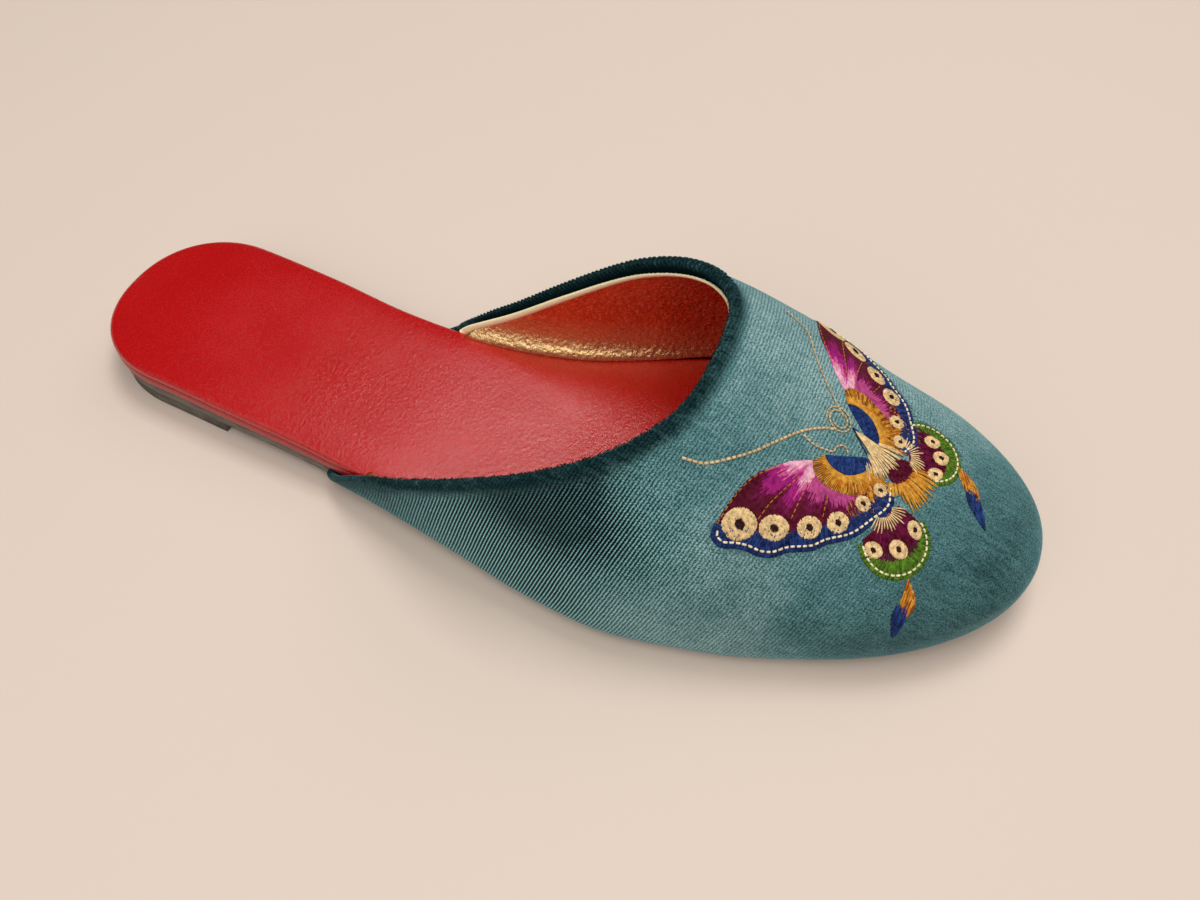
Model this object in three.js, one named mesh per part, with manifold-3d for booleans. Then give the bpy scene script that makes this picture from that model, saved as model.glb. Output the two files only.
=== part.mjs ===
// A right-foot mule slipper: a closed vamp on a flat covered insole, a thin outsole and a low heel lift.
// Millimetres. +X runs from heel to toe, +Y to the inner side of the foot and +Z up from the floor.
import * as THREE from "three";
import Module from "manifold-3d";

// Driving dimensions
const LENGTH = 240; // insole, heel tip to toe tip
const BALL_WIDTH = 81.8; // insole, at its widest
const INSTEP_HEIGHT = 53; // outside of the vamp above the floor, at the throat
const HEEL_HEIGHT = 3.9; // underside of the outsole above the floor, at the heel
const OUTSOLE_THICKNESS = 3;
const BOARD_THICKNESS = 3.2;
const SOCK_THICKNESS = 2.4;
const WALL = 1.8; // velvet, backing and lining together
const JOINT_GAP = 0.3; // between pieces that are glued face to face

// Vamp
const VAMP_STAND_OFF = 2.8; // from the insole's edge to the vamp's widest line
const WIDEST_HEIGHT = 4.6; // of that line above the insole board's underside
const TUCK_POWER = 2.6; // squareness of the turn under the board
const TUCK_INSET = 0.5;
const MARGIN_WIDTH = 7; // lasting margin that lies between board and outsole
const THROAT = 0.686; // share of the length
const OUTER_REAR = 0.3625; // where the topline meets the sole, as a share of the length
const INNER_REAR = 0.369;
const BEAD_RADIUS = 1.5; // rolled topline
const BEAD_SHIFT = 0.4; // how far the roll stands out of the wall's middle
const BEAD_LENGTH = 4.5;
const BEAD_START = { from: 2, to: 24 }; // angles over which the roll grows from the rear ends
const REAR_SWEEP = 8; // how far the rear ends run back as they turn under
const SWEEP_LENGTH = 24;

// Sole
const OUTSOLE_INSET = 0.6; // from the insole's edge
const REBATE_CLEARANCE = 0.8;
const LIFT_INSET = 0.8;
const LIFT_LENGTH = 46;
const EDGE_ROUND = 0.9;
const EDGE_BEVEL = 0.4;

// Rounded ends of the outline and of the crown line
const HEEL_END = { length: 26, power: 2.2 };
const TOE_END = { length: 58, power: 2.15 };
const CROWN_END = { length: 34, power: 2.08 };
const RIDGE_FADE = 40; // length over which the ridge comes back to the axis at the toe
const RIDGE_LIMIT = 0.25; // nearest share of the width that the ridge keeps to either side

// Insole outline: at is a share of LENGTH, the rest are shares of BALL_WIDTH
const PLAN = [
  { at: 0, axis: 0.2017, inner: 0.3117, outer: 0.3117 },
  { at: 0.1083, axis: 0.1895, inner: 0.3142, outer: 0.3142 },
  { at: 0.2083, axis: 0.165, inner: 0.313, outer: 0.3105 },
  { at: 0.3125, axis: 0.1406, inner: 0.3032, outer: 0.3056 },
  { at: 0.4167, axis: 0.1284, inner: 0.324, outer: 0.3264 },
  { at: 0.5, axis: 0.1345, inner: 0.3692, outer: 0.3716 },
  { at: 0.5833, axis: 0.1528, inner: 0.4499, outer: 0.4303 },
  { at: 0.6583, axis: 0.1773, inner: 0.5183, outer: 0.4694 },
  { at: 0.7333, axis: 0.2017, inner: 0.5208, outer: 0.456 },
  { at: 0.8333, axis: 0.2384, inner: 0.4731, outer: 0.4169 },
  { at: 0.9167, axis: 0.2689, inner: 0.4597, outer: 0.3998 },
  { at: 1, axis: 0.2995, inner: 0.4267, outer: 0.3802 },
];

// Crown of the vamp: ridge is the sideways shift from the axis as a share of BALL_WIDTH,
// height a share of INSTEP_HEIGHT, inner and outer the squareness of the section's two halves
const CROWN = [
  { at: 0.3333, ridge: 0.0367, height: 1.17, inner: 2.5, outer: 2.3 },
  { at: 0.5, ridge: 0.0489, height: 1.151, inner: 2.65, outer: 2.3 },
  { at: 0.625, ridge: 0.0611, height: 1.085, inner: 2.6, outer: 2.2 },
  { at: 0.7292, ridge: 0.0611, height: 0.915, inner: 2.35, outer: 2.2 },
  { at: 0.8333, ridge: 0.0489, height: 0.666, inner: 2.3, outer: 2.2 },
  { at: 0.9167, ridge: 0.0244, height: 0.553, inner: 2.2, outer: 2.2 },
  { at: 1.0167, ridge: 0, height: 0.451, inner: 2.2, outer: 2.2 },
];

// Underside of the outsole above the floor, as a share of HEEL_HEIGHT: seat, waist, flat tread, toe spring
const PROFILE = [
  { at: 0, height: 1 },
  { at: 0.125, height: 1 },
  { at: 0.2333, height: 0.949 },
  { at: 0.3542, height: 0.667 },
  { at: 0.4792, height: 0.231 },
  { at: 0.5833, height: 0 },
  { at: 0.7708, height: 0 },
  { at: 0.8542, height: 0.179 },
  { at: 0.9375, height: 0.615 },
  { at: 1.0167, height: 1.282 },
];

// Topline: how far it has come from the rear end (0) to the throat (1) at each angle up the vamp's side
const TOPLINE = [
  { at: 0, outer: 0, inner: 0 },
  { at: 10, outer: 0.216, inner: 0.217 },
  { at: 20, outer: 0.387, inner: 0.375 },
  { at: 30, outer: 0.544, inner: 0.51 },
  { at: 40, outer: 0.694, inner: 0.635 },
  { at: 50, outer: 0.82, inner: 0.765 },
  { at: 60, outer: 0.911, inner: 0.885 },
  { at: 70, outer: 0.97, inner: 0.957 },
  { at: 80, outer: 0.995, inner: 0.988 },
  { at: 90, outer: 1, inner: 1 },
];

// Edges of the two insole layers: inset as a share of EDGE_ROUND, rise as a share of the layer's thickness
const SOCK_EDGE = [
  { inset: 0.55, rise: 0 },
  { inset: 0, rise: 0.25 },
  { inset: 0, rise: 0.55 },
  { inset: 0.3, rise: 0.8 },
  { inset: 1, rise: 0.95 },
  { inset: 2, rise: 1 },
];
const BOARD_EDGE = [
  { inset: 1, rise: 0 },
  { inset: 0.22, rise: 0.2 },
  { inset: 0, rise: 0.5 },
  { inset: 0.22, rise: 0.85 },
  { inset: 1, rise: 1 },
];

// Mesh spacing
const SOLE_STATIONS = 46;
const LINE_POINTS = 400; // points on the dense guide lines
const VAMP_COLUMNS = 36; // strips from one side of the vamp to the other
const VAMP_ROWS = 18; // rows between the rolled topline and the toe
const ROW_CROWDING = 1.3; // more than 1 draws the rows together at the toe
const EDGE_ROWS = [0, 0.15, 0.55, 1.2, 2.1, 3.2, 4.5, 7]; // distances from the topline
const TUCK_LEVELS = 5;
const MARGIN_LEVELS = 2;
const TOPLINE_STEP = 2; // degrees to either side that give the topline's direction
const NARROWEST = 1e-6; // keeps the width above zero at the toe tip

const wasm = await Module();
wasm.setup();

// Smooth value of a column between the rows of a table; a limited one never overshoots its rows
function between(table, column, at, limited) {
  const last = table.length - 1;
  const slopes = table.map(() => 0);
  const steps = [];
  const grades = [];
  for (let k = 0; k < last; k++) {
    steps.push(table[k + 1].at - table[k].at);
    grades.push((table[k + 1][column] - table[k][column]) / steps[k]);
  }
  slopes[0] = grades[0];
  slopes[last] = grades[last - 1];
  for (let k = 1; k < last; k++) {
    if (!limited) {
      slopes[k] = (steps[k] * grades[k - 1] + steps[k - 1] * grades[k]) / (steps[k - 1] + steps[k]);
    } else if (grades[k - 1] * grades[k] > 0) {
      const before = 2 * steps[k] + steps[k - 1];
      const after = steps[k] + 2 * steps[k - 1];
      slopes[k] = (before + after) / (before / grades[k - 1] + after / grades[k]);
    }
  }
  const clamped = THREE.MathUtils.clamp(at, table[0].at, table[last].at);
  let row = 0;
  while (row < last - 1 && table[row + 1].at <= clamped) row++;
  const t = (clamped - table[row].at) / steps[row];
  const rest = 1 - t;
  const start = (1 + 2 * t) * rest * rest * table[row][column] + t * rest * rest * steps[row] * slopes[row];
  const end = t * t * (3 - 2 * t) * table[row + 1][column] + t * t * (t - 1) * steps[row] * slopes[row + 1];
  return start + end + (at - clamped) * (at < clamped ? slopes[0] : slopes[last]);
}

// Quarter of a superellipse: 1 at 0, falling to 0 at 1
function roundedEnd(share, power) {
  const inside = THREE.MathUtils.clamp(share, 0, 1);
  return (1 - inside ** power) ** (1 / power);
}

const planSize = (column, x) => between(PLAN, column, x / LENGTH, false) * BALL_WIDTH;
const crownSize = (column, x) => between(CROWN, column, x / LENGTH, false);
const treadHeight = (x) => between(PROFILE, "height", x / LENGTH, true) * HEEL_HEIGHT;
const boardBottom = (x) => treadHeight(x) + OUTSOLE_THICKNESS + JOINT_GAP;
const sockBottom = (x) => boardBottom(x) + BOARD_THICKNESS + JOINT_GAP;
const widestHeight = (x) => boardBottom(x) + WIDEST_HEIGHT;

// Insole edge on one side at x
function edgeY(x, side) {
  const heel = roundedEnd((HEEL_END.length - x) / HEEL_END.length, HEEL_END.power);
  const toe = roundedEnd((x - LENGTH + TOE_END.length) / TOE_END.length, TOE_END.power);
  const direction = side === "inner" ? 1 : -1;
  return planSize("axis", x) + direction * planSize(side, x) * heel * toe;
}

// Closed insole outline with outward normals: heel tip, outer side to the toe tip, inner side back
function outline(stations) {
  const points = [];
  const stationX = (k) => (LENGTH * (1 - Math.cos((Math.PI * k) / (stations - 1)))) / 2;
  for (let k = 0; k < stations; k++) points.push({ x: stationX(k), y: edgeY(stationX(k), "outer") });
  for (let k = stations - 2; k > 0; k--) points.push({ x: stationX(k), y: edgeY(stationX(k), "inner") });
  const count = points.length;
  points.forEach((point, k) => {
    const next = points[(k + 1) % count];
    const previous = points[(k + count - 1) % count];
    const length = Math.hypot(next.x - previous.x, next.y - previous.y);
    point.nx = (next.y - previous.y) / length;
    point.ny = (previous.x - next.x) / length;
  });
  return points;
}

function geometryFrom(positions, triangles) {
  const geometry = new THREE.BufferGeometry();
  geometry.setAttribute("position", new THREE.Float32BufferAttribute(positions, 3));
  geometry.setIndex(triangles);
  geometry.computeVertexNormals();
  return geometry;
}

// Solid between stacked outlines, each with an inset from the insole's edge and a height at x
function stackedSolid(levels) {
  const loop = outline(SOLE_STATIONS);
  const count = loop.length;
  const toe = SOLE_STATIONS - 1;
  const positions = [];
  const triangles = [];
  for (const level of levels) {
    for (const point of loop) {
      const x = point.x - point.nx * level.inset;
      positions.push(x, point.y - point.ny * level.inset, level.height(x));
    }
  }
  for (let level = 0; level + 1 < levels.length; level++) {
    for (let k = 0; k < count; k++) {
      const a = level * count + k;
      const b = level * count + ((k + 1) % count);
      triangles.push(a, b, b + count, a, b + count, a + count);
    }
  }
  const cap = (first, upward) => {
    for (let k = 0; k < toe; k++) {
      const corners = [k, k + 1, (count - k - 1) % count, (count - k) % count].map((c) => first + c);
      const order = upward ? [0, 1, 2, 3] : [3, 2, 1, 0];
      const [a, b, c, d] = order.map((n) => corners[n]);
      if (a !== b && b !== c && a !== c) triangles.push(a, b, c);
      if (a !== c && c !== d && a !== d) triangles.push(a, c, d);
    }
  };
  cap(0, false);
  cap((levels.length - 1) * count, true);
  return geometryFrom(positions, triangles);
}

function toManifold(geometry) {
  const vertProperties = new Float32Array(geometry.attributes.position.array);
  const triVerts = new Uint32Array(geometry.index.array);
  return new wasm.Manifold(new wasm.Mesh({ numProp: 3, vertProperties, triVerts }));
}

function fromManifold(solid) {
  const mesh = solid.getMesh();
  return geometryFrom(Array.from(mesh.vertProperties), Array.from(mesh.triVerts));
}

function boxManifold(low, high) {
  const corners = [];
  for (const z of [low[2], high[2]]) {
    corners.push(low[0], low[1], z, high[0], low[1], z, high[0], high[1], z, low[0], high[1], z);
  }
  const floorAndTop = [0, 2, 1, 0, 3, 2, 4, 5, 6, 4, 6, 7];
  const sides = [0, 1, 5, 0, 5, 4, 1, 2, 6, 1, 6, 5, 2, 3, 7, 2, 7, 6, 3, 0, 4, 3, 4, 7];
  return toManifold(geometryFrom(corners, [...floorAndTop, ...sides]));
}

// The vamp's widest line as two dense guide lines from heel to toe
function widestLines() {
  const loop = outline(LINE_POINTS);
  const toe = LINE_POINTS - 1;
  const move = (point) => ({
    ...point,
    wx: point.x + point.nx * VAMP_STAND_OFF,
    wy: point.y + point.ny * VAMP_STAND_OFF,
  });
  const outer = loop.slice(0, toe + 1).map(move);
  const inner = [...loop.slice(toe), loop[0]].map(move).reverse();
  return { outer, inner, tip: outer[toe] };
}

const WIDEST = widestLines();
const TIP_X = WIDEST.tip.wx;

// Point of a guide line at the vamp's x, with its insole point and normal
function onWidest(side, x) {
  const line = WIDEST[side];
  let k = line.length - 2;
  while (k > 0 && line[k].wx > x) k--;
  const reach = (value) => Math.sqrt(Math.max(0, TIP_X - value));
  const span = reach(line[k].wx) - reach(line[k + 1].wx);
  const t = span > 0 ? (reach(line[k].wx) - reach(x)) / span : 0;
  const mix = (name) => THREE.MathUtils.lerp(line[k][name], line[k + 1][name], t);
  return { x: mix("x"), y: mix("y"), nx: mix("nx"), ny: mix("ny"), wx: mix("wx"), wy: mix("wy") };
}

const sideOf = (angle) => (angle > 90 ? "inner" : "outer");

// Outside of the vamp at x; the angle runs from 0 on the outer side over the ridge to 180 on the inner side
function vampPoint(x, angle) {
  const side = sideOf(angle);
  const outerY = onWidest("outer", x).wy;
  const innerY = onWidest("inner", x).wy;
  const low = widestHeight(x);
  const end = roundedEnd((x - TIP_X + CROWN_END.length) / CROWN_END.length, CROWN_END.power);
  const rise = (crownSize("height", x) * INSTEP_HEIGHT - low) * end;
  const fade = THREE.MathUtils.clamp((TIP_X - x) / RIDGE_FADE, 0, 1);
  const wanted = planSize("axis", x) + crownSize("ridge", x) * BALL_WIDTH * fade;
  const width = Math.max(innerY - outerY, NARROWEST);
  const share = THREE.MathUtils.clamp((wanted - outerY) / width, RIDGE_LIMIT, 1 - RIDGE_LIMIT);
  const ridgeY = outerY + width * share;
  const power = 2 / crownSize(side, x);
  const radians = THREE.MathUtils.degToRad(angle);
  const across = Math.abs(Math.cos(radians)) ** power;
  const reach = side === "inner" ? innerY - ridgeY : outerY - ridgeY;
  return new THREE.Vector3(x, ridgeY + reach * across, low + rise * Math.abs(Math.sin(radians)) ** power);
}

const rearX = (side) => (side === "inner" ? INNER_REAR : OUTER_REAR) * LENGTH;

function toplineX(angle) {
  const side = sideOf(angle);
  const rear = rearX(side);
  const share = between(TOPLINE, side, side === "inner" ? 180 - angle : angle, true);
  return rear + (THROAT * LENGTH - rear) * share;
}

// One strip line of the vamp from the topline to the toe tip, cut into rows
function vampColumn(angle) {
  const start = toplineX(angle);
  const line = [];
  const travelled = [0];
  for (let k = 0; k <= LINE_POINTS; k++) {
    const left = 1 - k / LINE_POINTS;
    line.push(vampPoint(TIP_X - (TIP_X - start) * left * left, angle));
    if (k > 0) travelled.push(travelled[k - 1] + line[k].distanceTo(line[k - 1]));
  }
  const toplinePoint = (a) => vampPoint(toplineX(a), a);
  const along = toplinePoint(Math.min(180, angle + TOPLINE_STEP));
  along.sub(toplinePoint(Math.max(0, angle - TOPLINE_STEP)));
  const inward = line[1].clone().sub(line[0]);
  const slant = along.normalize().cross(inward.normalize()).length();
  const total = travelled[LINE_POINTS];
  const distances = EDGE_ROWS.map((distance) => distance / slant);
  const edgeEnd = distances[distances.length - 1];
  for (let row = 1; row <= VAMP_ROWS; row++) {
    const share = 1 - (1 - row / VAMP_ROWS) ** ROW_CROWDING;
    distances.push(edgeEnd + (total - edgeEnd) * share);
  }
  return distances.map((distance) => {
    let k = 0;
    while (k < LINE_POINTS - 1 && travelled[k + 1] < distance) k++;
    const t = (distance - travelled[k]) / (travelled[k + 1] - travelled[k]);
    return line[k].clone().lerp(line[k + 1], Math.min(1, t));
  });
}

// Turned-under edge and lasting margin below one point of the widest line, swept back at the rear end
function turnUnder(point, side) {
  const depth = WIDEST_HEIGHT + JOINT_GAP + WALL;
  const rear = rearX(side);
  const sweep = REAR_SWEEP * (1 - THREE.MathUtils.smoothstep(point.x, rear, rear + SWEEP_LENGTH));
  const levels = [];
  const place = (outward, drop) => {
    const at = onWidest(side, point.x - (sweep * drop) / depth);
    const x = at.x + at.nx * outward;
    levels.push(new THREE.Vector3(x, at.y + at.ny * outward, widestHeight(x) - drop));
  };
  for (let level = 1; level < TUCK_LEVELS; level++) {
    const angle = (level / TUCK_LEVELS) * (Math.PI / 2);
    const outward = Math.cos(angle) ** (2 / TUCK_POWER) * (VAMP_STAND_OFF + TUCK_INSET) - TUCK_INSET;
    place(outward, depth * Math.sin(angle) ** (2 / TUCK_POWER));
  }
  for (let level = 0; level <= MARGIN_LEVELS; level++) {
    place(-THREE.MathUtils.lerp(TUCK_INSET, MARGIN_WIDTH, level / MARGIN_LEVELS), depth);
  }
  return levels;
}

// Half thickness and outward shift of the wall at a distance from the topline
function wallProfile(distance, bead) {
  const radius = THREE.MathUtils.lerp(WALL / 2, BEAD_RADIUS, bead);
  const back = Math.max(0, radius - distance);
  const round = Math.sqrt(Math.max(0, radius * radius - back * back));
  const settle = THREE.MathUtils.smoothstep(distance, radius, BEAD_LENGTH);
  return {
    half: THREE.MathUtils.lerp(round, WALL / 2, settle),
    shift: BEAD_SHIFT * bead * (1 - settle),
  };
}

function buildUpper() {
  const columns = [];
  for (let c = 0; c <= VAMP_COLUMNS; c++) columns.push(vampColumn((180 * c) / VAMP_COLUMNS));
  const toeRow = columns[0].length - 1;
  const skin = [];
  const faces = [];
  const add = (point, row, bead) => skin.push({ point, row, bead, normal: new THREE.Vector3() }) - 1;
  const toe = add(columns[0][toeRow], toeRow, 0);
  const dome = columns.map((column, c) => {
    const angle = (180 * Math.min(c, VAMP_COLUMNS - c)) / VAMP_COLUMNS;
    const bead = THREE.MathUtils.smoothstep(angle, BEAD_START.from, BEAD_START.to);
    return column.map((point, row) => (row === toeRow ? toe : add(point, row, bead)));
  });
  const quad = (a, b, c, d) => {
    if (a !== b && b !== c && c !== a) faces.push([a, b, c]);
    if (a !== c && c !== d && d !== a) faces.push([a, c, d]);
  };
  for (let c = 0; c < VAMP_COLUMNS; c++) {
    for (let row = 0; row < toeRow; row++) {
      quad(dome[c][row], dome[c][row + 1], dome[c + 1][row + 1], dome[c + 1][row]);
    }
  }
  // The lower edge runs from the outer rear end round the toe to the inner rear end
  const rim = [];
  for (let row = 0; row <= toeRow; row++) rim.push({ id: dome[0][row], row, side: "outer" });
  for (let row = toeRow - 1; row >= 0; row--) rim.push({ id: dome[VAMP_COLUMNS][row], row, side: "inner" });
  const below = rim.map(({ id, row, side }) => {
    return [id, ...turnUnder(skin[id].point, side).map((point) => add(point, row, 0))];
  });
  for (let k = 0; k + 1 < below.length; k++) {
    for (let level = 0; level + 1 < below[k].length; level++) {
      quad(below[k][level + 1], below[k + 1][level + 1], below[k + 1][level], below[k][level]);
    }
  }
  const edge = new THREE.Vector3();
  const other = new THREE.Vector3();
  for (const [a, b, c] of faces) {
    edge.subVectors(skin[b].point, skin[a].point);
    other.subVectors(skin[c].point, skin[a].point);
    edge.cross(other);
    for (const id of [a, b, c]) skin[id].normal.add(edge);
  }
  const positions = [];
  const outside = [];
  const inside = [];
  const put = (point, normal, distance) => {
    positions.push(point.x + normal.x * distance, point.y + normal.y * distance, point.z + normal.z * distance);
    return positions.length / 3 - 1;
  };
  for (const { point, normal, row, bead } of skin) {
    normal.normalize();
    const { half, shift } = wallProfile(row < EDGE_ROWS.length ? EDGE_ROWS[row] : Infinity, bead);
    outside.push(put(point, normal, shift + half - WALL / 2));
    inside.push(row === 0 ? outside[outside.length - 1] : put(point, normal, shift - half - WALL / 2));
  }
  const triangles = [];
  for (const [a, b, c] of faces) {
    triangles.push(outside[a], outside[b], outside[c], inside[a], inside[c], inside[b]);
  }
  // Cut edge of the lasting margin
  for (let k = 0; k + 1 < below.length; k++) {
    const a = below[k][below[k].length - 1];
    const b = below[k + 1][below[k + 1].length - 1];
    const strip = [
      [outside[a], inside[b], outside[b]],
      [outside[a], inside[a], inside[b]],
    ];
    for (const [p, q, r] of strip) {
      if (p !== q && q !== r && r !== p) triangles.push(p, q, r);
    }
  }
  return geometryFrom(positions, triangles);
}

// Layer of the insole with a shaped edge
function insoleLayer(edge, bottom, thickness) {
  return stackedSolid(
    edge.map(({ inset, rise }) => ({ inset: EDGE_ROUND * inset, height: (x) => bottom(x) + thickness * rise })),
  );
}

function buildOutsole() {
  const top = (x) => treadHeight(x) + OUTSOLE_THICKNESS;
  const plate = stackedSolid([
    { inset: OUTSOLE_INSET + EDGE_BEVEL, height: treadHeight },
    { inset: OUTSOLE_INSET, height: (x) => treadHeight(x) + EDGE_BEVEL },
    { inset: OUTSOLE_INSET, height: top },
  ]);
  const ledge = (x) => boardBottom(x) - 2 * JOINT_GAP - WALL;
  const above = (x) => top(x) + OUTSOLE_THICKNESS;
  const around = stackedSolid([
    { inset: -OUTSOLE_THICKNESS, height: ledge },
    { inset: -OUTSOLE_THICKNESS, height: above },
  ]);
  const islandInset = MARGIN_WIDTH + REBATE_CLEARANCE;
  const island = stackedSolid([
    { inset: islandInset, height: (x) => ledge(x) - OUTSOLE_THICKNESS },
    { inset: islandInset, height: (x) => above(x) + OUTSOLE_THICKNESS },
  ]);
  const start = Math.min(rearX("outer"), rearX("inner")) - REAR_SWEEP - REBATE_CLEARANCE;
  const forepart = boxManifold([start, -LENGTH, -LENGTH], [2 * LENGTH, LENGTH, LENGTH]);
  const rebate = toManifold(around).subtract(toManifold(island)).intersect(forepart);
  return fromManifold(toManifold(plate).subtract(rebate));
}

function buildLift() {
  const top = (x) => treadHeight(x) - JOINT_GAP;
  const whole = stackedSolid([
    { inset: LIFT_INSET + EDGE_BEVEL, height: () => 0 },
    { inset: LIFT_INSET, height: () => EDGE_BEVEL },
    { inset: LIFT_INSET, height: (x) => Math.max(2 * EDGE_BEVEL, top(x)) },
  ]);
  const heelPart = boxManifold([-LENGTH, -LENGTH, -LENGTH], [LIFT_LENGTH, LENGTH, LENGTH]);
  return fromManifold(toManifold(whole).intersect(heelPart));
}

const finishes = {
  velvet: { color: 0x3e6e70, roughness: 0.95, metalness: 0 },
  sockLeather: { color: 0xae0606, roughness: 0.5, metalness: 0 },
  edgeLeather: { color: 0x9c1210, roughness: 0.45, metalness: 0 },
  soleLeather: { color: 0x64584d, roughness: 0.8, metalness: 0 },
};

const slipper = new THREE.Group();

function addPiece(name, geometry, finish) {
  const mesh = new THREE.Mesh(geometry, new THREE.MeshStandardMaterial(finishes[finish]));
  mesh.name = name;
  slipper.add(mesh);
}

addPiece("upper", buildUpper(), "velvet");
addPiece("insole_sock", insoleLayer(SOCK_EDGE, sockBottom, SOCK_THICKNESS), "sockLeather");
addPiece("insole_board", insoleLayer(BOARD_EDGE, boardBottom, BOARD_THICKNESS), "edgeLeather");
addPiece("outsole", buildOutsole(), "soleLeather");
addPiece("heel_lift", buildLift(), "soleLeather");

// The origin lies on the floor under the middle of the slipper
const extent = new THREE.Box3().setFromObject(slipper);
const middle = extent.getCenter(new THREE.Vector3());
slipper.position.set(-middle.x, -middle.y, -extent.min.z);

export default slipper;
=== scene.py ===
"""Looks of a right-foot mule slipper.

Ribbed velvet vamp with an embroidered butterfly, gold lining, padded red insole, thin sole and heel lift.
"""
import math

import bpy
import numpy as np
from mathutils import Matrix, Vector


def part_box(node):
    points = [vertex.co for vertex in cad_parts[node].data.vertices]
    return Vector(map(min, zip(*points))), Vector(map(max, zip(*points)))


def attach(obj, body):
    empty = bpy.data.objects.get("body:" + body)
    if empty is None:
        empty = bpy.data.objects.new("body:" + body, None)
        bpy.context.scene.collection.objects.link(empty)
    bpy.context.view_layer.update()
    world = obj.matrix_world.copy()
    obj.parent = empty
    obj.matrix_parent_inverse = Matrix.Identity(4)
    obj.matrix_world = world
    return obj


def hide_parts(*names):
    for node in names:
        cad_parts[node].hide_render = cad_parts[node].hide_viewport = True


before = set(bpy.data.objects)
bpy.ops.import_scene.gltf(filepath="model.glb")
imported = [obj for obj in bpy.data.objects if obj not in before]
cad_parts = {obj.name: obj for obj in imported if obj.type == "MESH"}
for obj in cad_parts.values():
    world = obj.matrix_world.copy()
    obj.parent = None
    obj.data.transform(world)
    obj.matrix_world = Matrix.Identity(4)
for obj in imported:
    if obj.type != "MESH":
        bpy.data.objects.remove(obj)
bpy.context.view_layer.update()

MM = 0.001  # shapes are worked out in millimetres from the heel tip and placed in the frame in metres
SEED = 7
RANDOM = np.random.default_rng(SEED)

# Sizes of the last and of the layers, as in the part's solids
LENGTH = 240.0
BALL_WIDTH = 81.8
INSTEP_HEIGHT = 53.0
HEEL_HEIGHT = 3.9
OUTSOLE_THICKNESS = 3.0
BOARD_THICKNESS = 3.2
SOCK_THICKNESS = 2.4
WALL = 1.8
JOINT_GAP = 0.3
VAMP_STAND_OFF = 2.8
WIDEST_HEIGHT = 4.6
TUCK_POWER = 2.6
TUCK_INSET = 0.5
MARGIN_WIDTH = 7.0
THROAT = 0.686
REAR = {-1: 0.3625, 1: 0.369}  # share of the length; side -1 is the outer side, 1 the inner
BEAD_RADIUS = 1.5
BEAD_SHIFT = 0.4
BEAD_LENGTH = 4.5
BEAD_START = (2.0, 24.0)  # angles over which the roll grows from the rear ends
REAR_SWEEP = 8.0  # how far the rear ends run back as they turn under
SWEEP_LENGTH = 24.0
OUTSOLE_INSET = 0.6
REBATE_CLEARANCE = 0.8
LIFT_INSET = 0.8
LIFT_LENGTH = 46.0
EDGE_ROUND = 0.9
EDGE_BEVEL = 0.4
HEEL_END = {"length": 26.0, "power": 2.2}
TOE_END = {"length": 58.0, "power": 2.15}
CROWN_END = {"length": 34.0, "power": 2.08}
RIDGE_FADE = 40.0
RIDGE_LIMIT = 0.25

# Insole outline: share of the length, then axis, inner and outer half width as shares of the ball width
PLAN = np.array([
    (0, 0.2017, 0.3117, 0.3117),
    (0.1083, 0.1895, 0.3142, 0.3142),
    (0.2083, 0.165, 0.313, 0.3105),
    (0.3125, 0.1406, 0.3032, 0.3056),
    (0.4167, 0.1284, 0.324, 0.3264),
    (0.5, 0.1345, 0.3692, 0.3716),
    (0.5833, 0.1528, 0.4499, 0.4303),
    (0.6583, 0.1773, 0.5183, 0.4694),
    (0.7333, 0.2017, 0.5208, 0.456),
    (0.8333, 0.2384, 0.4731, 0.4169),
    (0.9167, 0.2689, 0.4597, 0.3998),
    (1, 0.2995, 0.4267, 0.3802),
])
AXIS = 1
HALF = {1: 2, -1: 3}

# Crown: share of the length, ridge shift, height share, squareness of the inner and outer half section
CROWN = np.array([
    (0.3333, 0.0367, 1.17, 2.5, 2.3),
    (0.5, 0.0489, 1.151, 2.65, 2.3),
    (0.625, 0.0611, 1.085, 2.6, 2.2),
    (0.7292, 0.0611, 0.915, 2.35, 2.2),
    (0.8333, 0.0489, 0.666, 2.3, 2.2),
    (0.9167, 0.0244, 0.553, 2.2, 2.2),
    (1.0167, 0, 0.451, 2.2, 2.2),
])
RIDGE, HEIGHT, SQUARE = 1, 2, {1: 3, -1: 4}

# Underside of the outsole: share of the length, share of the heel height
PROFILE = np.array([
    (0, 1),
    (0.125, 1),
    (0.2333, 0.949),
    (0.3542, 0.667),
    (0.4792, 0.231),
    (0.5833, 0),
    (0.7708, 0),
    (0.8542, 0.179),
    (0.9375, 0.615),
    (1.0167, 1.282),
])

# Topline: angle up the side, share of the way from rear end to throat on the inner and outer side
TOPLINE = np.array([
    (0, 0, 0),
    (10, 0.217, 0.216),
    (20, 0.375, 0.387),
    (30, 0.51, 0.544),
    (40, 0.635, 0.694),
    (50, 0.765, 0.82),
    (60, 0.885, 0.911),
    (70, 0.957, 0.97),
    (80, 0.988, 0.995),
    (90, 1, 1),
])
PROGRESS = {1: 1, -1: 2}

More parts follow.
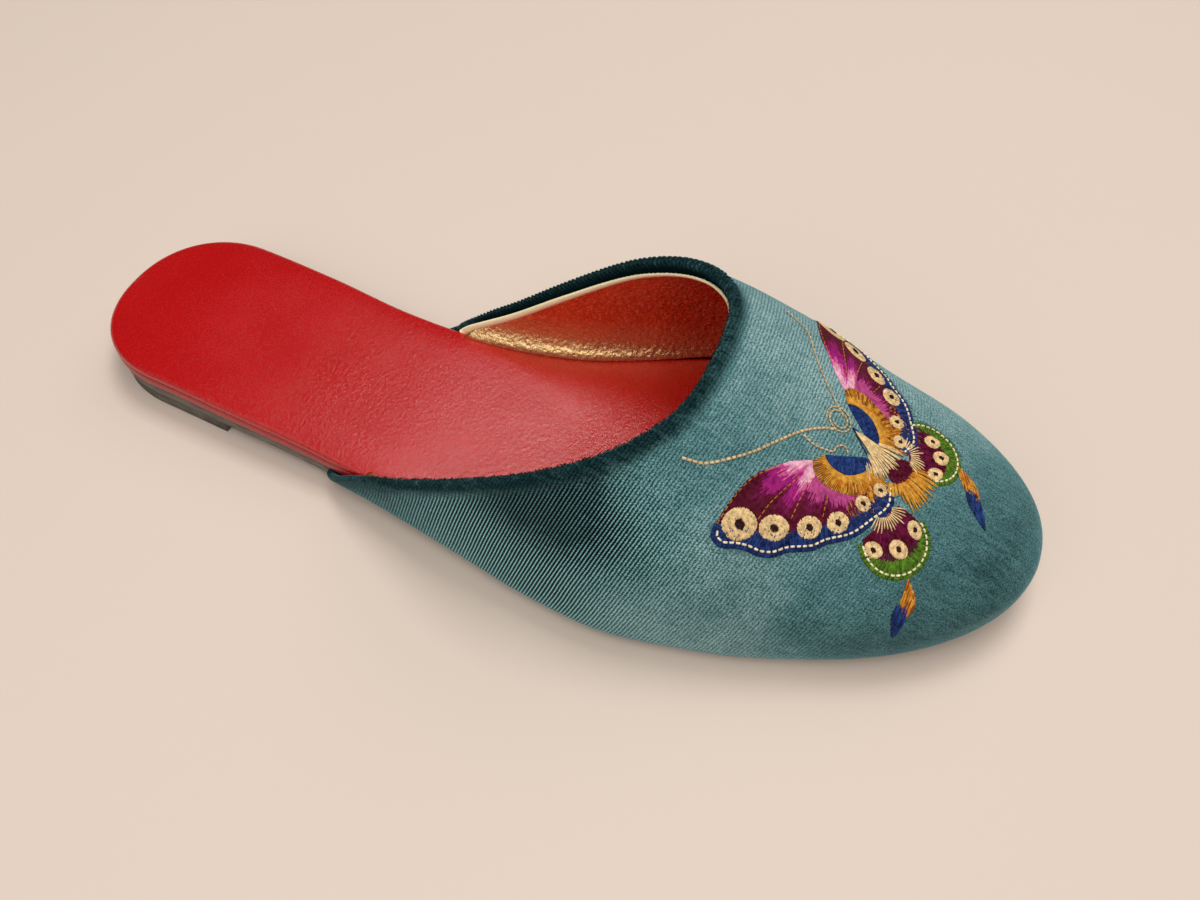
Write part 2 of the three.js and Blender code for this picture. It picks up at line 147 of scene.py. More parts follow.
# Cloth and mesh spacing
VELVET = 1.0  # velvet and its backing; the rest of the wall is lining
ROLL_DEPTH = 2.1  # how far the velvet turns over the topline
GUIDE_POINTS = 400
VAMP_COLUMNS = 300
VAMP_ROWS = 84
ROW_CROWDING = 1.3
EDGE_ROWS = np.array([0, 0.04, 0.15, 0.35, 0.65, 1.05, 1.5, ROLL_DEPTH, 2.9, 3.7, 4.4, 5.4, 7])
TUCK_LEVELS = 10
MARGIN_LEVELS = 3
SOLE_STATIONS = 220
SOCK_STRIPS = 40
BREAST_POINTS = 9
TUBE_SIDES = 8
ELLIPSE_POINTS = 28
SLANT_STEP = 2.0  # degrees to each side over which the topline's slant is taken
SLACK = 0.01  # millimetres by which a distance may miss a row and still count as on it
TINY = 1e-9  # least length that a vector is divided by
GRID_END = 1.001  # keeps a place on a grid just short of its last row
NOISE_RANGE = (0.3, 0.7)  # where most values of a noise lie


def between(table, column, at, limited=False):
    """Smooth value of a column between the rows of a table; a limited one never overshoots its rows."""
    places, values = table[:, 0], table[:, column]
    at = np.asarray(at, float)
    steps = np.diff(places)
    grades = np.diff(values) / steps
    slopes = np.concatenate([grades[:1], np.zeros(len(steps) - 1), grades[-1:]])
    before, after = grades[:-1], grades[1:]
    if limited:
        same = before * after > 0
        first = 2 * steps[1:] + steps[:-1]
        second = steps[1:] + 2 * steps[:-1]
        rate = first / np.where(same, before, 1) + second / np.where(same, after, 1)
        slopes[1:-1] = np.where(same, (first + second) / rate, 0)
    else:
        slopes[1:-1] = (steps[1:] * before + steps[:-1] * after) / (steps[:-1] + steps[1:])
    inside = np.clip(at, places[0], places[-1])
    row = np.clip(np.searchsorted(places, inside, side="right") - 1, 0, len(steps) - 1)
    t = (inside - places[row]) / steps[row]
    rest = 1 - t
    start = (1 + 2 * t) * rest**2 * values[row] + t * rest**2 * steps[row] * slopes[row]
    end = t**2 * (3 - 2 * t) * values[row + 1] - t**2 * rest * steps[row] * slopes[row + 1]
    return start + end + (at - inside) * np.where(at < inside, slopes[0], slopes[-1])


def smoothstep(value, low, high):
    t = np.clip((value - low) / (high - low), 0, 1)
    return t * t * (3 - 2 * t)


def lerp(a, b, t):
    return a + (b - a) * t


def unit(vectors):
    """Vectors scaled to length one."""
    return vectors / np.maximum(np.linalg.norm(vectors, axis=-1, keepdims=True), TINY)


def run_length(lines):
    """Distance travelled at each point of a line, or of each of several lines."""
    steps = np.linalg.norm(np.diff(lines, axis=-2), axis=-1)
    return np.concatenate([np.zeros_like(steps[..., :1]), np.cumsum(steps, -1)], -1)


def read_line(at, places, rows):
    """Rows that belong to places, read between them."""
    return np.stack([np.interp(at, places, column) for column in rows.T], -1)


def read_grid(grid, row, column):
    """Values of a grid, read between its rows and columns."""
    row, column = (np.clip(at, 0, count - GRID_END) for at, count in zip((row, column), grid.shape))
    r, c = row.astype(int), column.astype(int)
    wide = (...,) + (None,) * (grid.ndim - 2)
    s, t = (row - r)[wide], (column - c)[wide]
    near = lerp(grid[r, c], grid[r, c + 1], t)
    return lerp(near, lerp(grid[r + 1, c], grid[r + 1, c + 1], t), s)


def heading_axes(heading):
    """Directions ahead at a heading and to the left of it."""
    ahead = np.array([math.cos(heading), math.sin(heading)])
    return ahead, np.array([-ahead[1], ahead[0]])


def rounded_end(share, power):
    return (1 - np.clip(share, 0, 1) ** power) ** (1 / power)


def plan_size(column, x):
    return between(PLAN, column, x / LENGTH) * BALL_WIDTH


def crown_size(column, x):
    return between(CROWN, column, x / LENGTH)


def tread_height(x):
    return between(PROFILE, 1, x / LENGTH, limited=True) * HEEL_HEIGHT


def board_bottom(x):
    return tread_height(x) + OUTSOLE_THICKNESS + JOINT_GAP


def sock_bottom(x):
    return board_bottom(x) + BOARD_THICKNESS + JOINT_GAP


def widest_height(x):
    return board_bottom(x) + WIDEST_HEIGHT


def edge_y(x, side):
    heel = rounded_end((HEEL_END["length"] - x) / HEEL_END["length"], HEEL_END["power"])
    toe = rounded_end((x - LENGTH + TOE_END["length"]) / TOE_END["length"], TOE_END["power"])
    return plan_size(AXIS, x) + side * plan_size(HALF[side], x) * heel * toe


def outline(stations):
    """Closed insole outline and its outward normals: heel tip, outer side to the toe tip, inner side back."""
    x = LENGTH * (1 - np.cos(np.linspace(0, np.pi, stations))) / 2
    outer = np.stack([x, edge_y(x, -1)], 1)
    inner = np.stack([x, edge_y(x, 1)], 1)[-2:0:-1]
    points = np.concatenate([outer, inner])
    along = unit(np.roll(points, -1, 0) - np.roll(points, 1, 0))
    return points, np.stack([along[:, 1], -along[:, 0]], 1)


def widest_lines():
    """Guide lines of the vamp's widest line by side; columns wx, wy, then the insole's x, y, nx, ny."""
    points, normals = outline(GUIDE_POINTS)
    rows = np.concatenate([points + normals * VAMP_STAND_OFF, points, normals], 1)
    waist = LENGTH / 10  # the vamp starts well ahead of this
    outer = rows[:GUIDE_POINTS]
    inner = np.concatenate([rows[GUIDE_POINTS - 1:], rows[:1]])[::-1]
    return {-1: outer[outer[:, 0] > waist], 1: inner[inner[:, 0] > waist]}


WIDEST = widest_lines()
TIP_X = WIDEST[-1][-1, 0]
OUTLINE_LOW = outline(SOLE_STATIONS)[0].min(0)
BOARD_LOW = np.array(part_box("insole_board")[0])
ORIGIN = np.array([BOARD_LOW[0] - OUTLINE_LOW[0] * MM, BOARD_LOW[1] - OUTLINE_LOW[1] * MM, 0.0])


def on_widest(side, x):
    """Columns of the guide line at the vamp's x."""
    line = WIDEST[side][::-1]
    reach = np.sqrt(np.maximum(0, TIP_X - line[:, 0]))
    here = np.sqrt(np.maximum(0, TIP_X - x))
    return read_line(here, reach, line)


def vamp_point(x, angle):
    """Outside of the vamp; the angle runs from 0 on the outer side over the ridge to 180 on the inner."""
    x, angle = np.broadcast_arrays(np.asarray(x, float), np.asarray(angle, float))
    outer, inner = on_widest(-1, x)[..., 1], on_widest(1, x)[..., 1]
    low = widest_height(x)
    end = rounded_end((x - TIP_X + CROWN_END["length"]) / CROWN_END["length"], CROWN_END["power"])
    rise = (crown_size(HEIGHT, x) * INSTEP_HEIGHT - low) * end
    fade = np.clip((TIP_X - x) / RIDGE_FADE, 0, 1)
    wanted = plan_size(AXIS, x) + crown_size(RIDGE, x) * BALL_WIDTH * fade
    width = np.maximum(inner - outer, 1e-6)
    ridge = outer + width * np.clip((wanted - outer) / width, RIDGE_LIMIT, 1 - RIDGE_LIMIT)
    inward = angle > 90
    power = 2 / np.where(inward, crown_size(SQUARE[1], x), crown_size(SQUARE[-1], x))
    turn = np.radians(angle)
    y = ridge + np.where(inward, inner - ridge, outer - ridge) * np.abs(np.cos(turn)) ** power
    return np.stack([x, y, low + rise * np.abs(np.sin(turn)) ** power], -1)


def topline_x(angle):
    inward = angle > 90
    folded = np.where(inward, 180 - angle, angle)
    rear = np.where(inward, REAR[1], REAR[-1]) * LENGTH
    inner = between(TOPLINE, PROGRESS[1], folded, limited=True)
    outer = between(TOPLINE, PROGRESS[-1], folded, limited=True)
    return rear + (THROAT * LENGTH - rear) * np.where(inward, inner, outer)


def vamp_column(angle):
    """Points of one strip line from the topline to the toe tip, and their distances from the topline."""
    left = 1 - np.arange(GUIDE_POINTS + 1) / GUIDE_POINTS
    line = vamp_point(TIP_X - (TIP_X - topline_x(angle)) * left**2, angle)
    travelled = run_length(line)
    beside = np.array([max(0.0, angle - SLANT_STEP), min(180.0, angle + SLANT_STEP)])
    ends = vamp_point(topline_x(beside), beside)
    edge = EDGE_ROWS / np.linalg.norm(np.cross(unit(ends[1] - ends[0]), unit(line[1] - line[0])))
    rows = 1 - (1 - np.arange(1, VAMP_ROWS + 1) / VAMP_ROWS) ** ROW_CROWDING
    reached = np.concatenate([edge, edge[-1] + (travelled[-1] - edge[-1]) * rows])
    return read_line(reached, travelled, line), np.concatenate([EDGE_ROWS, reached[len(EDGE_ROWS):]])


def turn_under(x, side):
    """Turned-under edge and lasting margin below points of the widest line, swept back at the rear end."""
    depth = WIDEST_HEIGHT + JOINT_GAP + WALL
    turn = np.arange(1, TUCK_LEVELS) / TUCK_LEVELS * np.pi / 2
    outward = np.cos(turn) ** (2 / TUCK_POWER) * (VAMP_STAND_OFF + TUCK_INSET) - TUCK_INSET
    margin = -lerp(TUCK_INSET, MARGIN_WIDTH, np.arange(MARGIN_LEVELS + 1) / MARGIN_LEVELS)
    outward = np.concatenate([outward, margin])
    drop = np.concatenate([depth * np.sin(turn) ** (2 / TUCK_POWER), np.full(len(margin), depth)])
    rear = REAR[side] * LENGTH
    sweep = REAR_SWEEP * (1 - smoothstep(x, rear, rear + SWEEP_LENGTH))
    at = on_widest(side, x[:, None] - sweep[:, None] * (drop / depth)[None])
    place = at[..., 2:4] + at[..., 4:6] * outward[None, :, None]
    height = widest_height(place[..., 0]) - drop[None]
    return np.concatenate([place, height[..., None]], -1)


def grid_faces(ids):
    """Quads of a grid of vertex ids; a collapsed corner makes a triangle."""
    a, b, c, d = ids[:-1, :-1], ids[1:, :-1], ids[1:, 1:], ids[:-1, 1:]
    quads = np.stack([a, b, c, d], -1).reshape(-1, 4).tolist()
    return [list(dict.fromkeys(quad)) for quad in quads if len(set(quad)) > 2]


def vertex_normals(points, faces):
    halves = (half for face in faces for half in (face[:3], [face[0], *face[2:]]))
    corners = np.array([half for half in halves if len(half) == 3])
    a, b, c = (points[corners[:, k]] for k in range(3))
    flat = np.cross(b - a, c - a)
    total = np.zeros_like(points)
    for column in range(3):
        np.add.at(total, corners[:, column], flat)
    return unit(total)


def make_piece(name, points, faces, finish, uv=None, shades=None):
    """Smooth mesh piece from points in millimetres, riding on the one body."""
    mesh = bpy.data.meshes.new(name)
    mesh.from_pydata((np.asarray(points) * MM + ORIGIN).tolist(), [], faces)
    mesh.validate()
    mesh.polygons.foreach_set("use_smooth", np.ones(len(mesh.polygons), bool))
    if uv is not None:
        corners = np.zeros(len(mesh.loops), np.int32)
        mesh.loops.foreach_get("vertex_index", corners)
        layer = mesh.uv_layers.new(name="fabric")
        layer.data.foreach_set("uv", np.asarray(uv, np.float32)[corners].ravel())
    for label, values in (shades or {}).items():
        mesh.attributes.new(label, "FLOAT", "POINT").data.foreach_set("value", np.asarray(values, np.float32))
    mesh.materials.append(finish)
    piece = bpy.data.objects.new(name, mesh)
    bpy.context.scene.collection.objects.link(piece)
    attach(piece, "root")
    return piece


class Finish:
    """A procedural material: helper calls that add nodes before its one surface shader."""

    def __init__(self, name, **values):
        self.material = bpy.data.materials.new(name)
        self.material.use_nodes = True
        self.tree = self.material.node_tree
        for label, value in values.items():
            self.socket(label).default_value = value

    def socket(self, name):
        title = name.replace("_", " ").title().replace("Ior", "IOR")
        return self.tree.nodes["Principled BSDF"].inputs[title]

    def add(self, kind, inputs, **settings):
        node = self.tree.nodes.new(kind)
        for name, value in settings.items():
            setattr(node, name, value)
        for key, value in inputs.items():
            if isinstance(value, bpy.types.NodeSocket):
                self.tree.links.new(value, node.inputs[key])
            else:
                node.inputs[key].default_value = value
        return node

    def mapped(self, where, scale, turn=0.0):
        inputs = {"Vector": where, "Scale": scale, "Rotation": (0, 0, turn)}
        return self.add("ShaderNodeMapping", inputs).outputs[0]

    def place(self, scale=(1000, 1000, 1000), turn=0.0):
        """Object coordinates, in millimetres unless scaled otherwise, turned about Z."""
        return self.mapped(self.add("ShaderNodeTexCoord", {}).outputs["Object"], scale, turn)

    def fabric(self, scale=(1, 1, 1)):
        return self.mapped(self.add("ShaderNodeUVMap", {}, uv_map="fabric").outputs["UV"], scale)

    def fabric_axes(self):
        split = self.add("ShaderNodeSeparateXYZ", {"Vector": self.fabric()})
        return split.outputs["X"], split.outputs["Y"]

    def noise(self, where, scale, detail=2.0, roughness=0.5, distortion=0.0):
        inputs = {"Vector": where, "Scale": scale, "Detail": detail, "Roughness": roughness,
                  "Distortion": distortion}
        return self.add("ShaderNodeTexNoise", inputs).outputs["Fac"]

    def pebbles(self, where, scale):
        inputs = {"Vector": where, "Scale": scale}
        return self.add("ShaderNodeTexVoronoi", inputs, feature="SMOOTH_F1").outputs["Distance"]

    def math(self, operation, a, b=0.0, c=0.0):
        return self.add("ShaderNodeMath", {0: a, 1: b, 2: c}, operation=operation).outputs[0]

    def plus(self, a, b):
        return self.math("ADD", a, b)

    def times(self, a, b, more=0.0):
        """Product, and more added to it."""
        return self.math("MULTIPLY_ADD", a, b, more)

    def spread(self, value, low, high, to_low=0.0, to_high=1.0):
        inputs = {"Value": value, "From Min": low, "From Max": high, "To Min": to_low, "To Max": to_high}
        return self.add("ShaderNodeMapRange", inputs).outputs[0]

    def vary(self, noise, to_low=0.0, to_high=1.0):
        return self.spread(noise, *NOISE_RANGE, to_low, to_high)

    def between(self, share, at_none, at_all):
        return self.spread(share, 0.0, 1.0, at_none, at_all)

    def mix(self, share, a, b):
        return self.add("ShaderNodeMix", {0: share, 6: a, 7: b}, data_type="RGBA").outputs[2]

    def bump(self, height, strength, millimetres, under=None):
        """Normal of a relief, laid over the normal of another where one is given."""
        inputs = {"Height": height, "Strength": strength, "Distance": millimetres * MM}
        if under is not None:
            inputs["Normal"] = under
        return self.add("ShaderNodeBump", inputs).outputs[0]

    def attribute(self, name):
        return self.add("ShaderNodeAttribute", {}, attribute_name=name).outputs["Fac"]

    def finish(self, **links):
        for name, value in links.items():
            self.tree.links.new(value, self.socket(name))
        return self.material


RIB_PITCH = 0.82  # millimetres between the velvet's ribs
TUFT_PITCH = 0.66  # and between the tufts along a rib
RIB_MIDDLE = 4.0  # ribs cross the vamp square here, bend towards the heel on both sides, then run straight
RIB_BEND = 0.0049
RIB_STRAIGHT = 36.0


def cloth_length(points, across):
    """Length along the cloth: the ridge's own length at x, bent to the sides."""
    xs = TIP_X - (TIP_X - LENGTH / 4) * np.linspace(1, 0, GUIDE_POINTS) ** 2
    away = np.abs(across - RIB_MIDDLE)
    bent = np.minimum(away, RIB_STRAIGHT)
    bend = RIB_BEND * bent**2 + 2 * RIB_BEND * RIB_STRAIGHT * (away - bent)
    return np.interp(points[:, 0], xs, run_length(vamp_point(xs, 90.0))) + bend


def velvet_finish():
    """Ribbed pile: rows of staggered pale tufts, opened over dark gaps where the cloth is stretched; painted
    light and shade in its tone.
    """
    f = Finish("velvet", roughness=0.95, sheen_weight=0.45, sheen_roughness=0.35,
               sheen_tint=(0.42, 0.78, 0.84, 1), specular_ior_level=0.05)
    nap_and_painted_shading, open_ribs = f.attribute("nap_and_painted_shading"), f.attribute("open_ribs")
    across, along = f.fabric_axes()
    waver = f.noise(f.fabric((0.05, 0.05, 1)), 1.0)
    shake = f.noise(f.fabric((0.9, 0.6, 1)), 1.0)
    cloud = f.noise(f.fabric((0.045, 0.06, 1)), 1.0, 4.0, 0.62)
    streak = f.noise(f.fabric((0.9, 0.2, 1)), 1.0)
    speck = f.noise(f.place(), 3.1, 1.0)

    drift = f.times(waver, 0.8, f.times(shake, f.between(open_ribs, 0.8, 0.12)))
    row = f.plus(f.math("DIVIDE", along, RIB_PITCH), drift)
    rib = f.times(f.math("COSINE", f.times(row, math.tau)), -0.5, 0.5)
    rib = f.math("POWER", rib, f.between(open_ribs, 1.0, 3.0))
    stagger = f.plus(f.math("DIVIDE", across, TUFT_PITCH), f.times(shake, 1.3))
    stagger = f.times(f.math("FLOOR", row), 0.5, stagger)
    tuft = f.times(f.math("SINE", f.times(stagger, math.tau)), 0.28, 0.72)
    height = f.times(f.between(open_ribs, 0.6, 1.5), f.attribute("rib_height"))
    grain = f.times(f.vary(speck, -0.42, 0.42), f.between(open_ribs, 1.0, 0.35))
    raised = f.plus(f.times(f.times(rib, tuft, -0.36), height, 0.4), grain)

    # tone of the pile: brushed nap mixed with painted light and shade, varied at random by cloud and streak
    lie_and_painted_shading = f.plus(f.plus(nap_and_painted_shading, f.vary(cloud, -0.3, 0.3)), f.vary(streak, -0.2, 0.2))
    lie_and_painted_shading = f.spread(lie_and_painted_shading, -1.0, 1.0)
    # gap and pile tones run from painted shade at low values to painted sheen at high ones
    gap = f.mix(lie_and_painted_shading, (0.0004, 0.003, 0.004, 1), (0.045, 0.150, 0.165, 1))
    gap = f.mix(open_ribs, gap, (0.0003, 0.003, 0.004, 1))
    low, middle, high = (0.008, 0.038, 0.043, 1), (0.118, 0.262, 0.277, 1), (0.420, 0.575, 0.580, 1)
    pile = f.mix(f.spread(lie_and_painted_shading, 0.5, 1.0), f.mix(f.spread(lie_and_painted_shading, 0.0, 0.5), low, middle), high)
    # pale crests of the opened ribs are painted sheen, their near-black gaps painted shade between the ribs
    bright = f.times(f.between(open_ribs, 0.0, 0.85), f.spread(lie_and_painted_shading, 0.0, 0.6, 0.3, 1.0))
    pile = f.mix(bright, pile, (0.390, 0.820, 0.840, 1))
    colour = f.mix(f.spread(raised, 0.0, 0.85), gap, pile)
    return f.finish(base_color=colour, normal=f.bump(raised, 0.4, 0.3))


def collar_finish(name, lift):
    """Dark matt pile of the rolled topline with painted light and shade: paler on its outer face, darker over
    its crown and inner face; lift scales its tones.
    """
    f = Finish(name, roughness=1.0, sheen_weight=0.08, sheen_roughness=0.35,
               sheen_tint=(0.4, 0.80, 0.84, 1), specular_ior_level=0.02)
    _, run = f.fabric_axes()
    tone = f.noise(f.place(), 2.4)

    def between_tones(dark, pale):
        return f.mix(tone, *(tuple(lift * c for c in colour) + (1,) for colour in (dark, pale)))

    # painted light and shade: the outer face is painted paler, the crown and inner face darker
    outer = between_tones((0.008, 0.036, 0.040), (0.032, 0.100, 0.110))
    crown = between_tones((0.001, 0.008, 0.010), (0.009, 0.036, 0.040))
    inner = between_tones((0.0005, 0.004, 0.005), (0.002, 0.010, 0.012))
    rolled = f.mix(f.spread(run, 0.2, 1.6), outer, crown)
    return f.finish(base_color=f.mix(f.spread(run, 2.4, 3.6), rolled, inner))


def lining_finish():
    """Gold-faced leather with a pebbled grain; red tones painted as the sock's reflection, painted glints,
    and a painted gold highlight where it leans in.
    """
    f = Finish("gold_lining", metallic=0.95)
    where = f.place()
    fine = f.noise(where, 2.2, 3.0, 0.6)
    reflection_mottle = f.noise(where, 0.09, 3.0)
    glint = f.noise(where, 1.3, 2.0, 0.6, 0.4)
    height = f.times(fine, 0.7, f.pebbles(where, 0.95))
    # the red tones are a painted reflection of the red sock in the gold leather, varied at random
    colour = f.mix(f.vary(reflection_mottle), (0.70, 0.11, 0.03, 1), (0.80, 0.19, 0.055, 1))
    # gold specks are painted glints
    colour = f.mix(f.spread(glint, 0.52, 0.68, 0.0, 0.4), colour, (1.0, 0.78, 0.45, 1))
    # painted highlight: gold where the lining leans in low at the rear
    colour = f.mix(f.attribute("painted_highlight"), colour, (0.84, 0.63, 0.30, 1))
    return f.finish(base_color=colour, roughness=f.vary(fine, 0.22, 0.36), normal=f.bump(height, 0.85, 0.35))


def lining_edge_finish():
    """Pale cut edge of the lining."""
    f = Finish("lining_edge", roughness=0.45)
    fibre = f.noise(f.place(), 1.6, 3.0, 0.65)
    colour = f.mix(f.vary(fibre), (0.94, 0.78, 0.44, 1), (1.0, 0.92, 0.62, 1))
    return f.finish(base_color=colour, normal=f.bump(fibre, 0.35, 0.2))


SOCK_RED = ((0.40, 0.0003, 0.001, 1), (0.44, 0.0005, 0.0015, 1), (0.49, 0.001, 0.003, 1))
EDGE_RED = ((0.30, 0.006, 0.006, 1), (0.40, 0.012, 0.012, 1), (0.46, 0.06, 0.06, 1))


def red_leather_finish(name, colours, grain, gloss):
    """Smooth dyed leather: fine wrinkled grain, soft satin gloss, slight mottle."""
    f = Finish(name, specular_ior_level=0.8)
    where = f.place()
    warp = f.noise(where, 0.35)
    cell = f.pebbles(f.place((1000, 820, 1000), 0.5), 1.15)
    fine = f.noise(where, 1.9, 4.0, 0.62, 0.6)
    pore = f.noise(where, 4.5)
    broad = f.noise(where, 0.03)
    height = f.times(pore, 0.45, f.times(cell, 0.55, f.times(fine, 0.8)))
    shade = f.times(broad, 0.6, f.times(warp, 0.4))
    colour = f.mix(f.spread(shade, 0.35, 0.65), colours[0], colours[1])
    colour = f.mix(f.spread(fine, 0.4, 0.62, 0.0, 0.22), colour, colours[2])
    rough = f.spread(f.times(broad, 0.5, fine), 0.5, 1.0, gloss - 0.08, gloss + 0.12)
    swell = f.bump(broad, 0.1, 4.0)
    return f.finish(base_color=colour, roughness=rough, normal=f.bump(height, grain, 0.22, swell))


def sole_leather_finish():
    """Grey-brown painted sole edge with fine scuffs and dust."""
    f = Finish("sole_leather", specular_ior_level=0.35)
    where = f.place()
    scuff = f.noise(f.place((260, 1000, 1400), 0.15), 0.8, 4.0, 0.65)
    fibre = f.noise(where, 2.4, 3.0, 0.6)
    dust = f.noise(where, 0.12, 3.0)
    colour = f.mix(f.spread(scuff, 0.35, 0.7), (0.105, 0.090, 0.072, 1), (0.200, 0.172, 0.142, 1))
    colour = f.mix(f.spread(dust, 0.45, 0.75, 0.0, 0.35), colour, (0.27, 0.24, 0.20, 1))
    return f.finish(base_color=colour, roughness=f.vary(fibre, 0.55, 0.8),
                    normal=f.bump(f.plus(fibre, scuff), 0.3, 0.2))


def lift_rubber_finish():
    """Dark rubber lift, slightly dusty, with a fine moulded grain."""
    f = Finish("lift_rubber", specular_ior_level=0.3)
    where = f.place()
    grain = f.noise(where, 3.2)
    dust = f.noise(where, 0.2, 4.0, 0.6)
    colour = f.mix(f.spread(dust, 0.35, 0.7), (0.070, 0.060, 0.050, 1), (0.150, 0.130, 0.108, 1))
    return f.finish(base_color=colour, roughness=f.vary(grain, 0.6, 0.82), normal=f.bump(grain, 0.25, 0.15))


def thread_finish(name, colour):
    """Twisted rayon thread: soft gloss along the strand and slight tone changes from stitch to stitch."""
    f = Finish("thread_" + name, specular_ior_level=0.06)
    tone = f.noise(f.place(), 1.1)
    across, along = f.fabric_axes()
    ply = f.math("SINE", f.times(along, 18.0, f.times(across, 3.0)))
    dark = tuple(0.62 * c for c in colour) + (1,)
    pale = tuple(min(1.0, 1.18 * c + 0.01) for c in colour) + (1,)
    shade = f.spread(f.times(ply, 0.08, tone), 0.32, 0.68)
    return f.finish(base_color=f.mix(shade, dark, pale), roughness=f.vary(tone, 0.36, 0.52),
                    normal=f.bump(ply, 0.25, 0.04))


def floor_finish():
    """Plain pale table top."""
    f = Finish("floor", roughness=0.75, specular_ior_level=0.2)
    mottle = f.noise(f.place((1, 1, 1)), 3.0, 3.0)
    return f.finish(base_color=f.mix(mottle, (0.650, 0.553, 0.480, 1), (0.665, 0.571, 0.498, 1)))


def build_arc_table():
    """Distance across the vamp from its ridge, by x and angle."""
    xs = np.linspace(min(REAR.values()) * LENGTH - 1, TIP_X - SLACK, 200)
    angles = np.linspace(0, 180, 361)
    run = run_length(vamp_point(xs[:, None], angles[None, :]))
    return xs, angles, run - run[:, [len(angles) // 2]]


ARC_X, ARC_ANGLE, ARC = build_arc_table()


def arc_across(x, angle):
    row = np.interp(x, ARC_X, np.arange(len(ARC_X)))
    return read_grid(ARC, row, np.interp(angle, ARC_ANGLE, np.arange(len(ARC_ANGLE))))


# Patches of brushed pile and of painted light and shade: across from the ridge, along from the heel tip, half
# sizes, strength
NAP_AND_PAINTED_SHADING = [
    (12, 172, 28, 26, 0.32),
    (28, 212, 18, 26, 0.4),
    (-40, 172, 15, 18, 0.3),
    (-67, 152, 13, 44, 0.6),
    (-47, 144, 17, 21, -1.8),
    (-15, 169, 16, 13, -0.6),
    (-64, 97, 18, 16, -1.2),
    (-34, 222, 22, 18, -0.75),
    (-8, 236, 26, 9, -0.5),
    (-48, 204, 16, 15, -0.4),
    (4, 227, 22, 14, -0.45),
]
NAP_REST = 0.35

# Where the ribs stand open over dark gaps, in the same columns
OPENED = [
    (-48, 143, 13, 20, 1.0),
    (-64, 120, 18, 32, 0.8),
    (-74, 145, 12, 20, 0.6),
    (-44, 161, 14, 14, 0.3),
]
OPEN_REST = 0.05


def patches(table, across, along):
    """Sum of soft patches over the cloth."""
    total = np.zeros(len(across))
    for middle, station, wide, long, strength in table:
        total += strength * np.exp(-((across - middle) / wide) ** 2 - ((along - station) / long) ** 2)
    return total


class VampSkin:
    """The vamp's outer face with its turned-under edge: points, normals and place across the cloth."""

    def __init__(self):
        angles = np.linspace(0, 180, VAMP_COLUMNS + 1)
        columns = [vamp_column(angle) for angle in angles]
        dome = np.stack([points for points, _ in columns])
        away = np.stack([distance for _, distance in columns])
        count, rows = dome.shape[:2]
        ids = np.arange(count * rows).reshape(count, rows)
        ids[:, -1] = ids[0, -1]
        rim = [(0, row, -1) for row in range(rows)] + [(count - 1, row, 1) for row in range(rows - 2, -1, -1)]
        below = [turn_under(dome[c, row, 0][None], side)[0] for c, row, side in rim]
        levels = below[0].shape[0]
        strip = count * rows + np.arange(len(rim) * levels).reshape(len(rim), levels)
        strip = np.concatenate([np.array([[ids[c, row]] for c, row, _ in rim]), strip], 1)
        self.dome, self.strip = ids, strip
        self.points = np.concatenate([dome.reshape(-1, 3), np.concatenate(below)])
        grown = smoothstep(np.minimum(angles, 180 - angles), *BEAD_START)
        self.bead = np.concatenate([np.repeat(grown, rows), np.zeros(len(rim) * levels)])
        rim_away = [away[c, row] for c, row, _ in rim]
        self.distance = np.concatenate([away.ravel(), np.repeat(rim_away, levels)])
        self.normals = vertex_normals(self.points, grid_faces(ids) + grid_faces(strip))
        if self.normals[ids[count // 2, rows // 2], 2] < 0:
            self.normals = -self.normals
        across = arc_across(dome[..., 0], np.broadcast_to(angles[:, None], dome.shape[:2])).ravel()
        drop = run_length(self.points[strip])[:, 1:]
        sides = np.array([side for _, _, side in rim])
        edge = across[[c * rows + row for c, row, _ in rim]]
        self.across = np.concatenate([across, (edge[:, None] + sides[:, None] * drop).ravel()])

    def wall(self):
        """Offsets of the wall's outer and inner face along the normals, with its rolled topline."""
        radius = lerp(WALL / 2, BEAD_RADIUS, self.bead)
        back = np.maximum(0, radius - self.distance)
        rolled = np.sqrt(np.maximum(0, radius**2 - back**2))
        settle = smoothstep(self.distance, radius, BEAD_LENGTH)
        half, shift = lerp(rolled, WALL / 2, settle), BEAD_SHIFT * self.bead * (1 - settle)
        return shift + half - WALL / 2, shift - half - WALL / 2


def shell(skin, outside, inside, first=0, levels=None):
    """Closed shell between two offsets of the skin: its points, its faces and the skin's point behind each.

    It starts at the first row of the dome and takes in so many levels of the strip below.
    """
    points = np.concatenate([skin.points + skin.normals * offset[:, None] for offset in (outside, inside)])
    count = len(skin.points)
    dome = skin.dome[:, first:]
    rows = skin.dome.shape[1]
    kept = [k for k in range(len(skin.strip)) if min(k, 2 * (rows - 1) - k) >= first]
    faces = grid_faces(dome) + grid_faces(skin.strip[kept, :levels])
    if vertex_normals(skin.points, faces)[dome[len(dome) // 2, rows // 3], 2] < 0:
        faces = [face[::-1] for face in faces]
    inner = [[corner + count for corner in face[::-1]] for face in faces]
    edges = dict.fromkeys(pair for face in faces for pair in zip(face, face[1:] + face[:1]))
    sides = [[b, a, a + count, b + count] for a, b in edges if (b, a) not in edges]
    every = faces + inner + sides
    corners = sorted({corner for face in every for corner in face})
    new = {old: k for k, old in enumerate(corners)}
    return points[corners], [[new[c] for c in face] for face in every], np.array(corners) % count


COLLAR_PAINTED_SHADE = -0.95  # painted shade of the rolled topline, given as a low nap value
COLLAR_DARK = (1.8, 5.8)  # distances from the topline over which the painted shade of the roll gives way to the vamp's tone
TOE_PLAIN = (196.0, 226.0)  # distances from the heel tip over which the ribs fade out towards the toe


